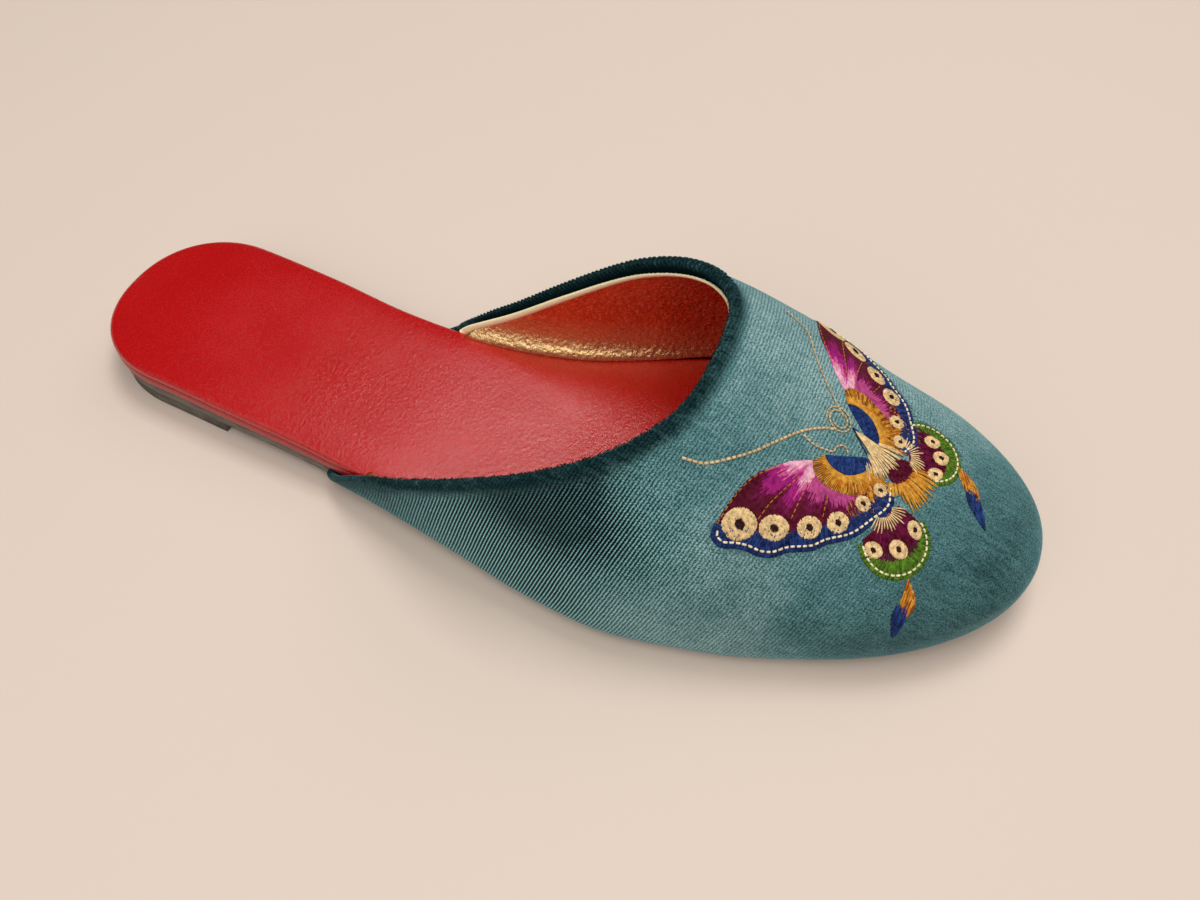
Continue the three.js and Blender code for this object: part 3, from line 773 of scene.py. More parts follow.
def build_velvet(skin, finish):
    outside, rolled = skin.wall()
    inside = np.where(skin.distance <= ROLL_DEPTH + SLACK, rolled, outside - VELVET)
    points, faces, source = shell(skin, outside, inside)
    x = skin.points[:, 0]
    # collar: share of the painted shade along the rolled topline
    collar = 1 - smoothstep(skin.distance, *COLLAR_DARK)
    open_ribs = OPEN_REST + patches(OPENED, skin.across, x)
    # velvet tone: brushed nap with painted light and shade from the patches, turning to the painted shade of
    # the rolled topline
    shades = {
        "nap_and_painted_shading": lerp(NAP_REST + patches(NAP_AND_PAINTED_SHADING, skin.across, x), COLLAR_PAINTED_SHADE, collar),
        "open_ribs": np.minimum(open_ribs, 1) * (1 - collar),
        "rib_height": 1 - smoothstep(x, *TOE_PLAIN),
    }
    shades = {label: values[source] for label, values in shades.items()}
    uv = np.stack([skin.across, cloth_length(skin.points, skin.across)], 1)
    piece = make_piece("velvet_vamp", points, faces, finish, uv[source], shades)
    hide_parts("upper")


LINING_GAP = 0.1  # between the velvet's backing and the lining
# Where the lining leans in over the sock's edge at the rear, and how high a painted gold highlight reaches
# there
LEAN = {"depth": 3.4, "low": (-1.0, 0.2), "height": 6.0, "painted_highlight": 13.0, "front": (120.0, 176.0)}


def build_lining(skin, finish):
    first = int(np.argmax(EDGE_ROWS > ROLL_DEPTH - SLACK))
    outside = np.full(len(skin.points), -VELVET - LINING_GAP)
    x = skin.points[:, 0]
    above = skin.points[:, 2] - sock_bottom(x) - SOCK_THICKNESS
    rear = smoothstep(above, *LEAN["low"]) * (1 - smoothstep(x, *LEAN["front"]))
    inside = -WALL - LEAN["depth"] * rear * np.clip(1 - above / LEAN["height"], 0, 1) ** 2
    # painted gold highlight, fading upwards from the sock's edge
    painted_highlight = rear * np.clip(1 - above / LEAN["painted_highlight"], 0, 1)
    points, faces, source = shell(skin, outside, inside, first, TUCK_LEVELS)
    make_piece("gold_lining", points, faces, finish, shades={"painted_highlight": painted_highlight[source]})


def tube(path, normals, width, height):
    """Closed flattened tube along a path; normals point to its flat side's outside."""
    across = unit(np.cross(unit(np.gradient(path, axis=0)), normals))
    turn = np.linspace(0, math.tau, TUBE_SIDES, endpoint=False)
    ring = across[:, None] * (np.cos(turn)[None] * np.reshape(width, (-1, 1)) / 2)[..., None]
    ring = ring + normals[:, None] * np.sin(turn)[None, :, None] * height / 2
    points = (path[:, None] + ring).reshape(-1, 3)
    ids = np.arange(len(points)).reshape(len(path), TUBE_SIDES)
    faces = grid_faces(np.concatenate([ids, ids[:, :1]], 1))
    return points, faces + [ids[0][::-1].tolist(), ids[-1].tolist()]


def topline_path(skin, distances, offsets):
    """Line round the topline from the outer to the inner rear end, offset along the skin's normals."""
    path, normals = [], []
    for ids, distance, offset in zip(skin.dome[:, :len(EDGE_ROWS)], distances, offsets):
        lean = unit(read_line(distance, EDGE_ROWS, skin.normals[ids]))
        path.append(read_line(distance, EDGE_ROWS, skin.points[ids]) + lean * offset)
        normals.append(lean)
    return np.array(path), np.array(normals)


# Distance from the topline and offset from the outer face, on the outer and the inner side, then widths
LINING_EDGE = {"top": (1.9, 0.6), "offset": (-2.1, -2.6), "rear": 2.1, "throat": 1.5, "height": 1.0}
EDGE_NARROWS = (0.0, 0.85)  # shares of the way from a rear end to the throat
EDGE_CHANGES = (-0.3, 0.3)  # shares of the way round at which the outer side gives way to the inner


def build_lining_edge(skin, finish):
    way = np.linspace(-1, 1, skin.dome.shape[0])
    width = lerp(LINING_EDGE["rear"], LINING_EDGE["throat"], smoothstep(1 - np.abs(way), *EDGE_NARROWS))
    inner = smoothstep(way, *EDGE_CHANGES)
    top = lerp(*LINING_EDGE["top"], inner)
    path, normals = topline_path(skin, top + width / 2, lerp(*LINING_EDGE["offset"], inner))
    points, faces = tube(path, normals, width, LINING_EDGE["height"])
    make_piece("lining_edge", points, faces, finish)


def stacked(levels):
    """Solid with an open top between stacked outlines: its points, its faces and the ids of its top ring.

    A level is an inset from the insole's edge and a height at x.
    """
    loop, normals = outline(SOLE_STATIONS)
    rings = []
    for inset, height in levels:
        place = loop - normals * inset
        rings.append(np.concatenate([place, height(place[:, 0])[:, None]], 1))
    ids = np.arange(len(rings) * len(loop)).reshape(len(rings), len(loop))
    faces = grid_faces(np.concatenate([ids, ids[:, :1]], 1).T)
    return np.concatenate(rings), faces + cap_faces(ids[0]), ids[-1]


def cap_faces(ring, upward=False):
    """Strips across a ring from its outer to its inner side."""
    count = len(ring)
    faces = []
    for k in range(SOLE_STATIONS - 1):
        corners = [ring[k], ring[k + 1], ring[(count - k - 1) % count], ring[(count - k) % count]]
        face = list(dict.fromkeys(int(c) for c in corners))
        faces.append(face if upward else face[::-1])
    return faces


def crowned_cap(points, ring, crown):
    """Curved top across a ring: new points and faces, raised in the middle by the crown function."""
    count = len(ring)
    share = (1 - np.cos(np.linspace(0, np.pi, SOCK_STRIPS + 1))) / 2
    rows, made = [], []
    for k in range(SOLE_STATIONS):
        a, b = ring[k], ring[(count - k) % count]
        if a == b:
            rows.append([a] * (SOCK_STRIPS + 1))
            continue
        line = lerp(points[a][None], points[b][None], share[:, None])
        line[:, 2] += crown(line[:, 0], share)
        first = len(points) + len(made)
        made.extend(line[1:-1])
        rows.append([a, *range(first, len(points) + len(made)), b])
    return np.concatenate([points, made]), grid_faces(np.array(rows))


def layer(bottom, thickness):
    """Heights within a layer: for a share of its thickness, the height at x."""
    return lambda share: lambda x: bottom(x) + thickness * share


SOCK_FOOT = ((0.5, 0), (0.1, 0.1), (0, 0.3))  # inset and share of the thickness, below its rounded edge
SOCK_ROUNDED = 0.4  # share of the thickness from which its edge is rounded
CROWN_ENDS = (30.0, 40.0)  # lengths at the heel and at the toe over which the sock's crown fades
PAD_CROWN = 0.7  # rise of the padded sock inside its edges
DISH = ((95.0, 140.0), (190.0, 215.0))  # the ball presses its middle down again between these places


def build_sock(finish):
    def crown(x, share):
        across = np.abs(2 * share - 1)
        ends = smoothstep(x, 0, CROWN_ENDS[0]) * (1 - smoothstep(x, LENGTH - CROWN_ENDS[1], LENGTH))
        dish = smoothstep(x, *DISH[0]) * (1 - smoothstep(x, *DISH[1]))
        return PAD_CROWN * ends * ((1 - across**8) - dish * (1 - across**2))

    at = layer(sock_bottom, SOCK_THICKNESS)
    levels = [(inset, at(share)) for inset, share in SOCK_FOOT]
    for turn in np.linspace(0, np.pi / 2, 6):
        levels.append((2 * EDGE_ROUND * (1 - np.cos(turn)), at(lerp(SOCK_ROUNDED, 1, np.sin(turn)))))
    points, faces, ring = stacked(levels)
    points, top = crowned_cap(points, ring, crown)
    piece = make_piece("red_sock", points, faces + top, finish)
    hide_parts("insole_sock")


def build_board(finish):
    at = layer(board_bottom, BOARD_THICKNESS)
    turns = np.linspace(-np.pi / 2, np.pi / 2, 11)
    points, faces, ring = stacked([(EDGE_ROUND * (1 - np.cos(t)), at(0.5 + 0.5 * np.sin(t))) for t in turns])
    piece = make_piece("board_edge", points, faces + cap_faces(ring, True), finish)
    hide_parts("insole_board")


REBATE_RAMP = 1.2
ISLAND_SLOPE = 0.2


def build_outsole(finish):
    """Outsole with a rebate that makes room for the lasting margin round a raised island."""
    start = min(REAR.values()) * LENGTH - REAR_SWEEP - REBATE_CLEARANCE
    island = MARGIN_WIDTH + REBATE_CLEARANCE
    at = layer(tread_height, 1.0)
    top = at(OUTSOLE_THICKNESS)

    def ledge(x):
        low = board_bottom(x) - 2 * JOINT_GAP - WALL
        return lerp(top(x), low, smoothstep(x, start, start + REBATE_RAMP))

    points, faces, ring = stacked([
        (OUTSOLE_INSET + EDGE_BEVEL, tread_height),
        (OUTSOLE_INSET + EDGE_BEVEL / 4, at(EDGE_BEVEL / 4)),
        (OUTSOLE_INSET, at(EDGE_BEVEL)),
        (OUTSOLE_INSET, ledge),
        (island - ISLAND_SLOPE, ledge),
        (island, top),
    ])
    piece = make_piece("outsole_plate", points, faces + cap_faces(ring, True), finish)
    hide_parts("outsole")


def build_lift(finish):
    """Heel lift: the heel part of the outline, cut straight across at its front."""
    loop, normals = outline(SOLE_STATIONS)
    half = SOLE_STATIONS // 2
    rings = []
    bevel = [(EDGE_BEVEL, 0.0), (EDGE_BEVEL / 4, EDGE_BEVEL / 4), (0.0, EDGE_BEVEL), (0.0, None)]
    for inset, height in bevel:
        place = loop - normals * (LIFT_INSET + inset)
        front = LIFT_LENGTH - inset
        outer, inner = (side[side[:, 0] < front] for side in (place[:SOLE_STATIONS], place[SOLE_STATIONS:]))
        rears = place[:half], place[:SOLE_STATIONS - 1 + half:-1]
        wall = [np.interp(front, side[:, 0], side[:, 1]) for side in rears]
        breast = np.stack([np.full(BREAST_POINTS, front), np.linspace(*wall, BREAST_POINTS)], 1)
        ring = np.concatenate([outer[:-1], breast, inner[1:]])
        level = tread_height(ring[:, 0]) - JOINT_GAP if height is None else np.full(len(ring), height)
        rings.append(np.concatenate([ring, level[:, None]], 1))
    count = min(len(ring) for ring in rings)
    points = np.concatenate([ring[:count] for ring in rings])
    ids = np.arange(len(points)).reshape(len(rings), count)
    faces = grid_faces(np.concatenate([ids, ids[:, :1]], 1).T)
    faces += [ids[0][::-1].tolist(), ids[-1].tolist()]
    piece = make_piece("rubber_lift", points, faces, finish)
    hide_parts("heel_lift")


# Thread colours as screen values from 0 to 255
THREADS = {
    "cream": (224, 194, 142),
    "ivory": (238, 222, 186),
    "beige": (206, 182, 140),
    "brown": (48, 16, 20),
    "navy": (20, 38, 88),
    "blue": (30, 60, 122),
    "maroon": (84, 0, 34),
    "plum": (106, 0, 62),
    "magenta": (152, 20, 112),
    "pink": (204, 90, 148),
    "rose": (176, 66, 128),
    "blush": (228, 168, 190),
    "gold": (208, 150, 52),
    "ochre": (186, 116, 30),
    "rust": (146, 74, 26),
    "green": (84, 124, 24),
    "moss": (52, 84, 20),
    "teal_pile": (92, 136, 138),
}


def linear(colour):
    """Linear light of a screen colour."""
    return tuple((c / 255 / 12.92) if c < 11 else ((c / 255 + 0.055) / 1.055) ** 2.4 for c in colour)


# The butterfly is charted on the vamp in millimetres: along runs from its thorax to the toe, side to the
# outer edge. The thorax lies at this x and angle, and the chart is turned about it.
CHART_X = 208.5
CHART_ANGLE = 86.0
CHART_TURN = 3.0
CHART_ALONG = (-48.0, 28.0)
CHART_SIDE = (-44.0, 42.0)
CHART_STEP = 0.75
CHART_LEAN = 0.1  # step in x and angle over which the slope at the thorax is taken
# Search for chart places on the vamp: first on a coarse net of x and angle, then by refining rounds
NET = {"rear": 8.0, "front": 2.0, "angles": (3, 177), "counts": (50, 60), "batch": 1000}
REFINE = {"rounds": 8, "step": 0.02, "moves": (2, 5), "least": 1e-6, "rear": 10.0, "front": 0.5,
          "angles": (0.5, 179.5)}


class Chart:
    """Maps chart places to points and normals on the vamp, keeping distances from the thorax."""

    def __init__(self):
        self.centre = vamp_point(CHART_X, CHART_ANGLE)
        lean = np.array([-CHART_LEAN, CHART_LEAN])
        along = vamp_point(CHART_X + lean, CHART_ANGLE)
        over = vamp_point(CHART_X, CHART_ANGLE + lean)
        self.up = unit(np.cross(along[1] - along[0], over[1] - over[0]))
        toe = unit(np.array([1.0, 0, 0]) - self.up[0] * self.up)
        out = np.cross(toe, self.up)
        turn = math.radians(CHART_TURN)
        self.toe = math.cos(turn) * toe + math.sin(turn) * out
        self.out = math.cos(turn) * out - math.sin(turn) * toe
        self.rows, self.columns = (np.arange(low, high + CHART_STEP, CHART_STEP)
                                   for low, high in (CHART_ALONG, CHART_SIDE))
        wanted = np.stack(np.meshgrid(self.rows, self.columns, indexing="ij"), -1)
        self.points = self.solve(wanted.reshape(-1, 2)).reshape(wanted.shape[:2] + (3,))
        normals = unit(np.cross(np.gradient(self.points, axis=0), np.gradient(self.points, axis=1)))
        self.normals = normals * np.sign((normals * self.up).sum(2))[..., None]

    def chart_of(self, x, angle):
        away = vamp_point(x, angle) - self.centre
        flat = away - (away @ self.up)[:, None] * self.up
        scale = np.linalg.norm(away, axis=1) / np.maximum(np.linalg.norm(flat, axis=1), TINY)
        return np.stack([flat @ self.toe * scale, flat @ self.out * scale], 1)

    def solve(self, wanted):
        """Points at wanted chart places: nearest of a coarse net, then refined by Newton steps."""
        rear = CHART_X + CHART_ALONG[0] - NET["rear"]
        xs = np.linspace(rear, TIP_X - NET["front"], NET["counts"][0])
        angles = np.linspace(*NET["angles"], NET["counts"][1])
        coarse = np.stack(np.meshgrid(xs, angles, indexing="ij"), -1).reshape(-1, 2)
        known = self.chart_of(*coarse.T)
        nearest = []
        for start in range(0, len(wanted), NET["batch"]):
            part = wanted[start:start + NET["batch"]]
            nearest.append(((part[:, None] - known[None]) ** 2).sum(2).argmin(1))
        x, angle = coarse[np.concatenate(nearest)].T
        step, (most_x, most_angle) = REFINE["step"], REFINE["moves"]
        for _ in range(REFINE["rounds"]):
            here = self.chart_of(x, angle)
            by_x = (self.chart_of(x + step, angle) - here) / step
            by_angle = (self.chart_of(x, angle + step) - here) / step
            miss = wanted - here
            size = by_x[:, 0] * by_angle[:, 1] - by_x[:, 1] * by_angle[:, 0]
            size = np.where(np.abs(size) < REFINE["least"], REFINE["least"], size)
            move_x = (miss[:, 0] * by_angle[:, 1] - miss[:, 1] * by_angle[:, 0]) / size
            move_angle = (by_x[:, 0] * miss[:, 1] - by_x[:, 1] * miss[:, 0]) / size
            x = np.clip(x + np.clip(move_x, -most_x, most_x), rear - REFINE["rear"], TIP_X - REFINE["front"])
            angle = np.clip(angle + np.clip(move_angle, -most_angle, most_angle), *REFINE["angles"])
        return vamp_point(x, angle)

    def at(self, places):
        row = (places[..., 0] - self.rows[0]) / CHART_STEP
        column = (places[..., 1] - self.columns[0]) / CHART_STEP
        return read_grid(self.points, row, column), unit(read_grid(self.normals, row, column))


STITCH_WIDTH = 0.36
STITCH_HEIGHT = 0.2
STITCH_STEPS = 5
STITCH_PITCH = 0.3
STITCH_ARCH = 3.0  # the higher, the longer a stitch lies level between its ends
STITCH_SINK = 0.06  # depth of its ends in the cloth
STITCH_FOOT = 0.35  # share of its lift that its ends have, and of its height by which it arches
SATIN_PITCH = 0.9 * STITCH_PITCH
SATIN_ENDS = (0.85, 1.1)  # shares of a border's width at which its stitches end
SATIN_LIFT = 0.12
STRAND_SECTION = np.array([(-0.5, 0.0), (-0.3, 0.75), (0.0, 1.0), (0.3, 0.75), (0.5, 0.0)])


class Stitches:
    """Collects stitches by thread and makes one raised mesh of each thread."""

    def __init__(self):
        self.by_thread = {}

    def sew(self, thread, start, end, lift, width=STITCH_WIDTH):
        self.by_thread.setdefault(thread, []).append((*start, *end, lift, width))

    def fill(self, lines, threads, length, lift):
        """Lines sewn as stitches of about a length, each in a thread drawn from those given."""
        for start, end in lines:
            for a, b in broken(start, end, length):
                self.sew(threads if isinstance(threads, str) else RANDOM.choice(threads), a, b, lift)

    def satin(self, outside, inside, threads, length):
        """Border row from its outside inwards, with an uneven end."""
        end = lerp(outside, inside, RANDOM.uniform(*SATIN_ENDS))
        self.fill([(outside, end)], threads, length, SATIN_LIFT)

    def run(self, thread, line, length, gap, lift, width):
        """Running stitch along a line of places."""
        line = np.asarray(line, float)
        travelled = run_length(line)
        place = 0.0
        while place < travelled[-1] - length / 2:
            ends = read_line([place, min(place + length, travelled[-1])], travelled, line)
            self.sew(thread, *ends, lift, width)
            place += length + gap

    def make(self, chart, names):
        for thread, rows in sorted(self.by_thread.items()):
            table = np.array(rows)
            points, faces, uv = strand_mesh(*chart_strands(chart, table), table[:, 5])
            finish = thread_finish(thread, linear(THREADS[thread]))
            make_piece(names + thread, points, faces, finish, uv)


def chart_strands(chart, table):
    """Paths and normals of stitches that rise from the cloth, arch over it and dip back."""
    t = np.linspace(0, 1, STITCH_STEPS + 1)
    points, normals = chart.at(lerp(table[:, None, 0:2], table[:, None, 2:4], t[None, :, None]))
    arch = (1 - np.abs(2 * t - 1) ** STITCH_ARCH)[None, :]
    lift = table[:, 4:5] * lerp(STITCH_FOOT, 1, arch) + STITCH_HEIGHT * STITCH_FOOT * arch - STITCH_SINK
    return points + normals * lift[..., None], normals


def strand_mesh(paths, normals, widths, height=STITCH_HEIGHT):
    """Half-round strands along paths of equal length: points, faces and cloth coordinates."""
    across = unit(np.cross(np.gradient(paths, axis=1), normals))
    side, up = STRAND_SECTION.T
    points = paths[:, :, None] + across[:, :, None] * (side * widths[:, None])[:, None, :, None]
    points = points + normals[:, :, None] * (up * height)[None, None, :, None]
    ids = np.arange(points.size // 3).reshape(points.shape[:3])
    top = np.stack([ids[:, :-1, :-1], ids[:, 1:, :-1], ids[:, 1:, 1:], ids[:, :-1, 1:]], -1)
    under = np.stack([ids[:, :-1, 0], ids[:, :-1, -1], ids[:, 1:, -1], ids[:, 1:, 0]], -1)
    faces = top.reshape(-1, 4).tolist() + under.reshape(-1, 4).tolist()
    faces += ids[:, 0].tolist() + ids[:, -1, ::-1].tolist()
    uv = np.stack(np.broadcast_arrays(side[None, None], run_length(paths)[:, :, None]), -1)
    return points.reshape(-1, 3), [face[::-1] for face in faces], uv.reshape(-1, 2)


def curve(points, steps=8):
    """Smooth line through points."""
    points = np.asarray(points, float)
    padded = np.concatenate([[2 * points[0] - points[1]], points, [2 * points[-1] - points[-2]]])
    t = np.linspace(0, 1, steps, endpoint=False)[:, None]
    line = []
    for k in range(1, len(padded) - 2):
        p, q, r, s = padded[k - 1:k + 3]
        bent = 2 * q + (r - p) * t + (2 * p - 5 * q + 4 * r - s) * t**2
        line.append(0.5 * (bent + (3 * q - p - 3 * r + s) * t**3))
    return np.concatenate(line + [points[-1:]])


def shifted(line, distance):
    """Line moved sideways by a distance, to the left of its run."""
    along = unit(np.gradient(line, axis=0))
    return line + np.stack([-along[:, 1], along[:, 0]], 1) * distance


def crossings(polygon, origin, heading):
    """Sorted distances along a line at which it crosses a polygon."""
    ahead, left = heading_axes(heading)
    relative = polygon - origin
    forward, sideways = relative @ ahead, relative @ left
    next_forward, next_sideways = np.roll(forward, -1), np.roll(sideways, -1)
    hit = (sideways > 0) != (next_sideways > 0)
    share = sideways[hit] / (sideways[hit] - next_sideways[hit])
    return np.sort(lerp(forward[hit], next_forward[hit], share))


def hatch(polygon, heading, pitch=STITCH_PITCH):
    """Parallel lines across a polygon as (start, end) pairs."""
    polygon = np.asarray(polygon, float)
    ahead, left = heading_axes(heading)
    reach = polygon @ left
    for offset in np.arange(reach.min() + pitch / 2, reach.max(), pitch):
        origin = left * offset
        cuts = crossings(polygon, origin, heading)
        for a, b in zip(cuts[::2], cuts[1::2]):
            yield origin + ahead * a, origin + ahead * b


def rays(polygon, centre, radius, pitch=STITCH_PITCH):
    """Lines that fan out from a centre across a polygon as (start, end) pairs."""
    polygon, centre = np.asarray(polygon, float), np.asarray(centre, float)
    for heading in np.arange(-math.pi, math.pi, pitch / radius):
        cuts = crossings(polygon, centre, heading)
        cuts = cuts[cuts > 0]
        ahead, _ = heading_axes(heading)
        odd = len(cuts) % 2
        for a, b in zip(cuts[odd::2], cuts[odd + 1::2]):
            yield centre + ahead * a, centre + ahead * b


SHORTEST_STITCH = 0.25
STITCH_OVERLAP = 0.04  # share of the line by which a stitch runs into the next


def broken(start, end, length):
    """A long line as stitches of about a length, with staggered joins."""
    span = np.linalg.norm(end - start)
    place = -RANDOM.uniform(0, length)
    while place < span:
        a, b = max(place, 0.0), min(place + length * RANDOM.uniform(0.85, 1.15), span)
        if b - a > SHORTEST_STITCH:
            yield lerp(start, end, a / span), lerp(start, end, min(1.0, b / span + STITCH_OVERLAP))
        place = b if b > 0 else place + length


def ellipse(centre, half, heading):
    turn = np.linspace(0, math.tau, ELLIPSE_POINTS, endpoint=False)
    ahead, left = heading_axes(heading)
    along = np.asarray(centre) + np.outer(np.cos(turn) * half[0], ahead)
    return along + np.outer(np.sin(turn) * half[1], left)


# Forewing, near side: along, side
EDGE = [(-31.0, 32.8), (-30.2, 35.0), (-27.5, 35.6), (-25.0, 34.4), (-22.6, 33.5), (-19.6, 32.9),
        (-16.8, 31.4), (-14.8, 29.2), (-12.4, 27.6), (-10.0, 25.8), (-8.2, 23.4), (-4.0, 19.4),
        (-1.4, 14.4), (0.7, 9.3), (-0.4, 4.8)]
BORDER_WIDTH = 4.2
TOP = [(-6.8, 0.3), (-16.8, 7.9), (-21.5, 11.9), (-25.0, 16.3), (-28.3, 20.7), (-29.8, 24.6), (-30.4, 28.5),
       (-30.6, 32.6)]
CRESCENT = [(-19.2, 10.6), (-18.2, 12.2), (-16.2, 13.3), (-14.0, 13.5), (-10.6, 12.7), (-7.6, 11.2),
            (-4.6, 8.0), (-2.3, 4.9)]
DISC = [(-17.4, 7.6), (-15.6, 8.7), (-13.2, 8.9), (-10.6, 8.1), (-8.2, 5.6), (-7.2, 3.0), (-7.3, 0.7)]
FAN_CENTRE = (-17.2, 4.3)  # the field's stitches fan out from here
BAND_CENTRE = (-12.3, 4.2)  # and those of the gold band from here
# Gold ground round the two innermost eye spots
SPOT_GROUND = [(-8.4, 12.2), (-4.6, 7.8), (-2.3, 4.6), (-0.4, 4.9), (-0.2, 8.2), (-2.4, 12.6),
               (-5.4, 15.8), (-8.0, 16.0)]
VEINS = [[(-23.6, 27.6), (-22.8, 22.9), (-20.0, 14.8)], [(-17.6, 23.6), (-17.9, 17.8), (-17.4, 13.3)],
         [(-11.8, 19.4), (-13.2, 14.4)]]
# Eye spots: centre, half length along the border, half width, heading of the border
SPOTS = [
    ((-26.4, 30.3), 3.7, 3.0, -0.5),
    ((-19.8, 27.0), 3.3, 2.5, -0.6),
    ((-13.3, 22.7), 2.8, 2.3, -0.75),
    ((-8.4, 18.4), 2.5, 2.3, -0.85),
    ((-5.4, 11.8), 1.7, 1.9, -1.1),
    ((-3.2, 7.0), 1.6, 1.7, -1.2),
]
# Shades of a panel from its inner end, by panel from the tip inwards: share of the way where a thread ends
SHADES = [
    (("blush", 0.1), ("pink", 0.22), ("magenta", 0.45), ("plum", 0.55), ("maroon", 2)),
    (("blush", 0.18), ("pink", 0.28), ("magenta", 0.46), ("plum", 0.6), ("maroon", 2)),
    (("rose", 0.3), ("plum", 0.48), ("maroon", 2)),
    (("rose", 0.36), ("plum", 0.52), ("maroon", 2)),
]
PANEL_HEADINGS = (-14.6, -0.9, 20.6)  # degrees of the veins about the fan's centre
PANEL_BOUNDS = (-36.0,) + PANEL_HEADINGS + (46.0,)
SCALLOP = 0.14  # share of the way by which the shades bulge outwards in the middle of a panel
# Hind wing: centre by side, radius, width of its green ring; the ring's arc in degrees about the centre
HIND = {1: (4.0, 15.0), -1: (3.6, 8.8)}
HIND_RADIUS = 8.2
RING_WIDTH = 4.2
RING_ARC = (-62.0, 142.0)
# Plum field inside the ring: its arc, the rest of its outline and the root of its stitches from the centre
FIELD_INSET = 1.2
FIELD_ARC = (-96, 150)
FIELD_REST = [(-5.2, 1.4), (-4.6, -2.2), (-2.4, -7.2)]
FIELD_ROOT = (-7.0, -6.0)
FRINGE = {"root": (-5.4, -4.8), "headings": (-28, 92, 15), "near": 2.2, "far": (4.4, 5.8)}
HIND_SPOTS = {
    1: [((-3.1, 4.3), 2.1, 1.8, -0.2), ((1.6, 1.3), 2.2, 1.9, 0.2), ((2.9, -4.3), 2.1, 1.6, 0.7)],
    -1: [((0.0, 3.4), 2.0, 1.7, 0.6), ((3.0, 0.4), 2.1, 1.8, 0.8), ((2.9, -4.6), 2.0, 1.6, 0.9)],
}
# Tails: root and tip of the gold leaf and of the navy leaf, by side
TAILS = {
    1: [((10.3, 19.9), (15.2, 26.6)), ((12.2, 25.0), (16.2, 30.9))],
    -1: [((9.4, 11.0), (18.2, 4.6)), ((14.8, 6.2), (21.6, -0.8))],
}
ANTENNAE = [
    [(-43.2, 26.8), (-38.1, 24.8), (-32.0, 18.5), (-28.3, 12.9), (-24.3, 6.7), (-20.1, 2.2), (-17.6, 0.6)],
    [(-38.4, -22.5), (-32.3, -19.5), (-28.8, -14.1), (-24.4, -9.2), (-19.8, -5.7), (-17.0, -3.6)],
    [(-23.6, 7.2), (-20.4, 7.4), (-17.5, 6.4), (-16.0, 5.7), (-15.7, 3.8), (-14.0, 2.6), (-12.9, 3.7)],
]
ANTENNA_WIDTHS = (0.66, 0.44, 0.48)
CURL = {"centre": (-17.7, -2.2), "radius": 3.4, "turns": 2.0, "start": 2.6}
# Loose fans of the body: thread, centre, near and far ends, first and last heading, count, lift, width
FANS = [
    ("gold", (-5.0, -1.0), 6.6, 12.6, -8, 38, 34, 0.3, STITCH_WIDTH),
    ("ochre", (-5.0, -1.0), 6.0, 11.0, -14, 44, 26, 0.26, STITCH_WIDTH),
    ("gold", (-2.6, 0.6), 3.6, 6.4, 30, 82, 20, 0.28, STITCH_WIDTH),
    ("cream", (-13.6, -2.7), 0.4, 8.2, 1, 30, 24, 0.34, STITCH_WIDTH),
    ("cream", (-12.0, -2.2), 5.0, 10.4, -14, 46, 30, 0.38, 0.32),
    ("beige", (-11.0, -1.6), 5.6, 9.0, 18, 62, 12, 0.3, 0.32),
]


def draw_spot(sewing, centre, half_long, half_wide, heading):
    """Eye spot: cream satin round a dark heart."""
    across = heading + math.pi / 2
    spot = ellipse(centre, (half_long, half_wide), heading)
    sewing.fill(hatch(spot, across, pitch=0.24), "cream", length=2.8, lift=0.2)
    heart = ellipse(centre, (0.28 * half_long, 0.42 * half_wide), heading)
    for start, end in hatch(heart, across + 0.2, pitch=0.26):
        sewing.sew("brown", start, end, lift=0.34, width=0.3)
    arm = 0.34 * half_long * heading_axes(heading)[0]
    sewing.sew("brown", centre - arm, centre + arm, lift=0.36, width=0.32)


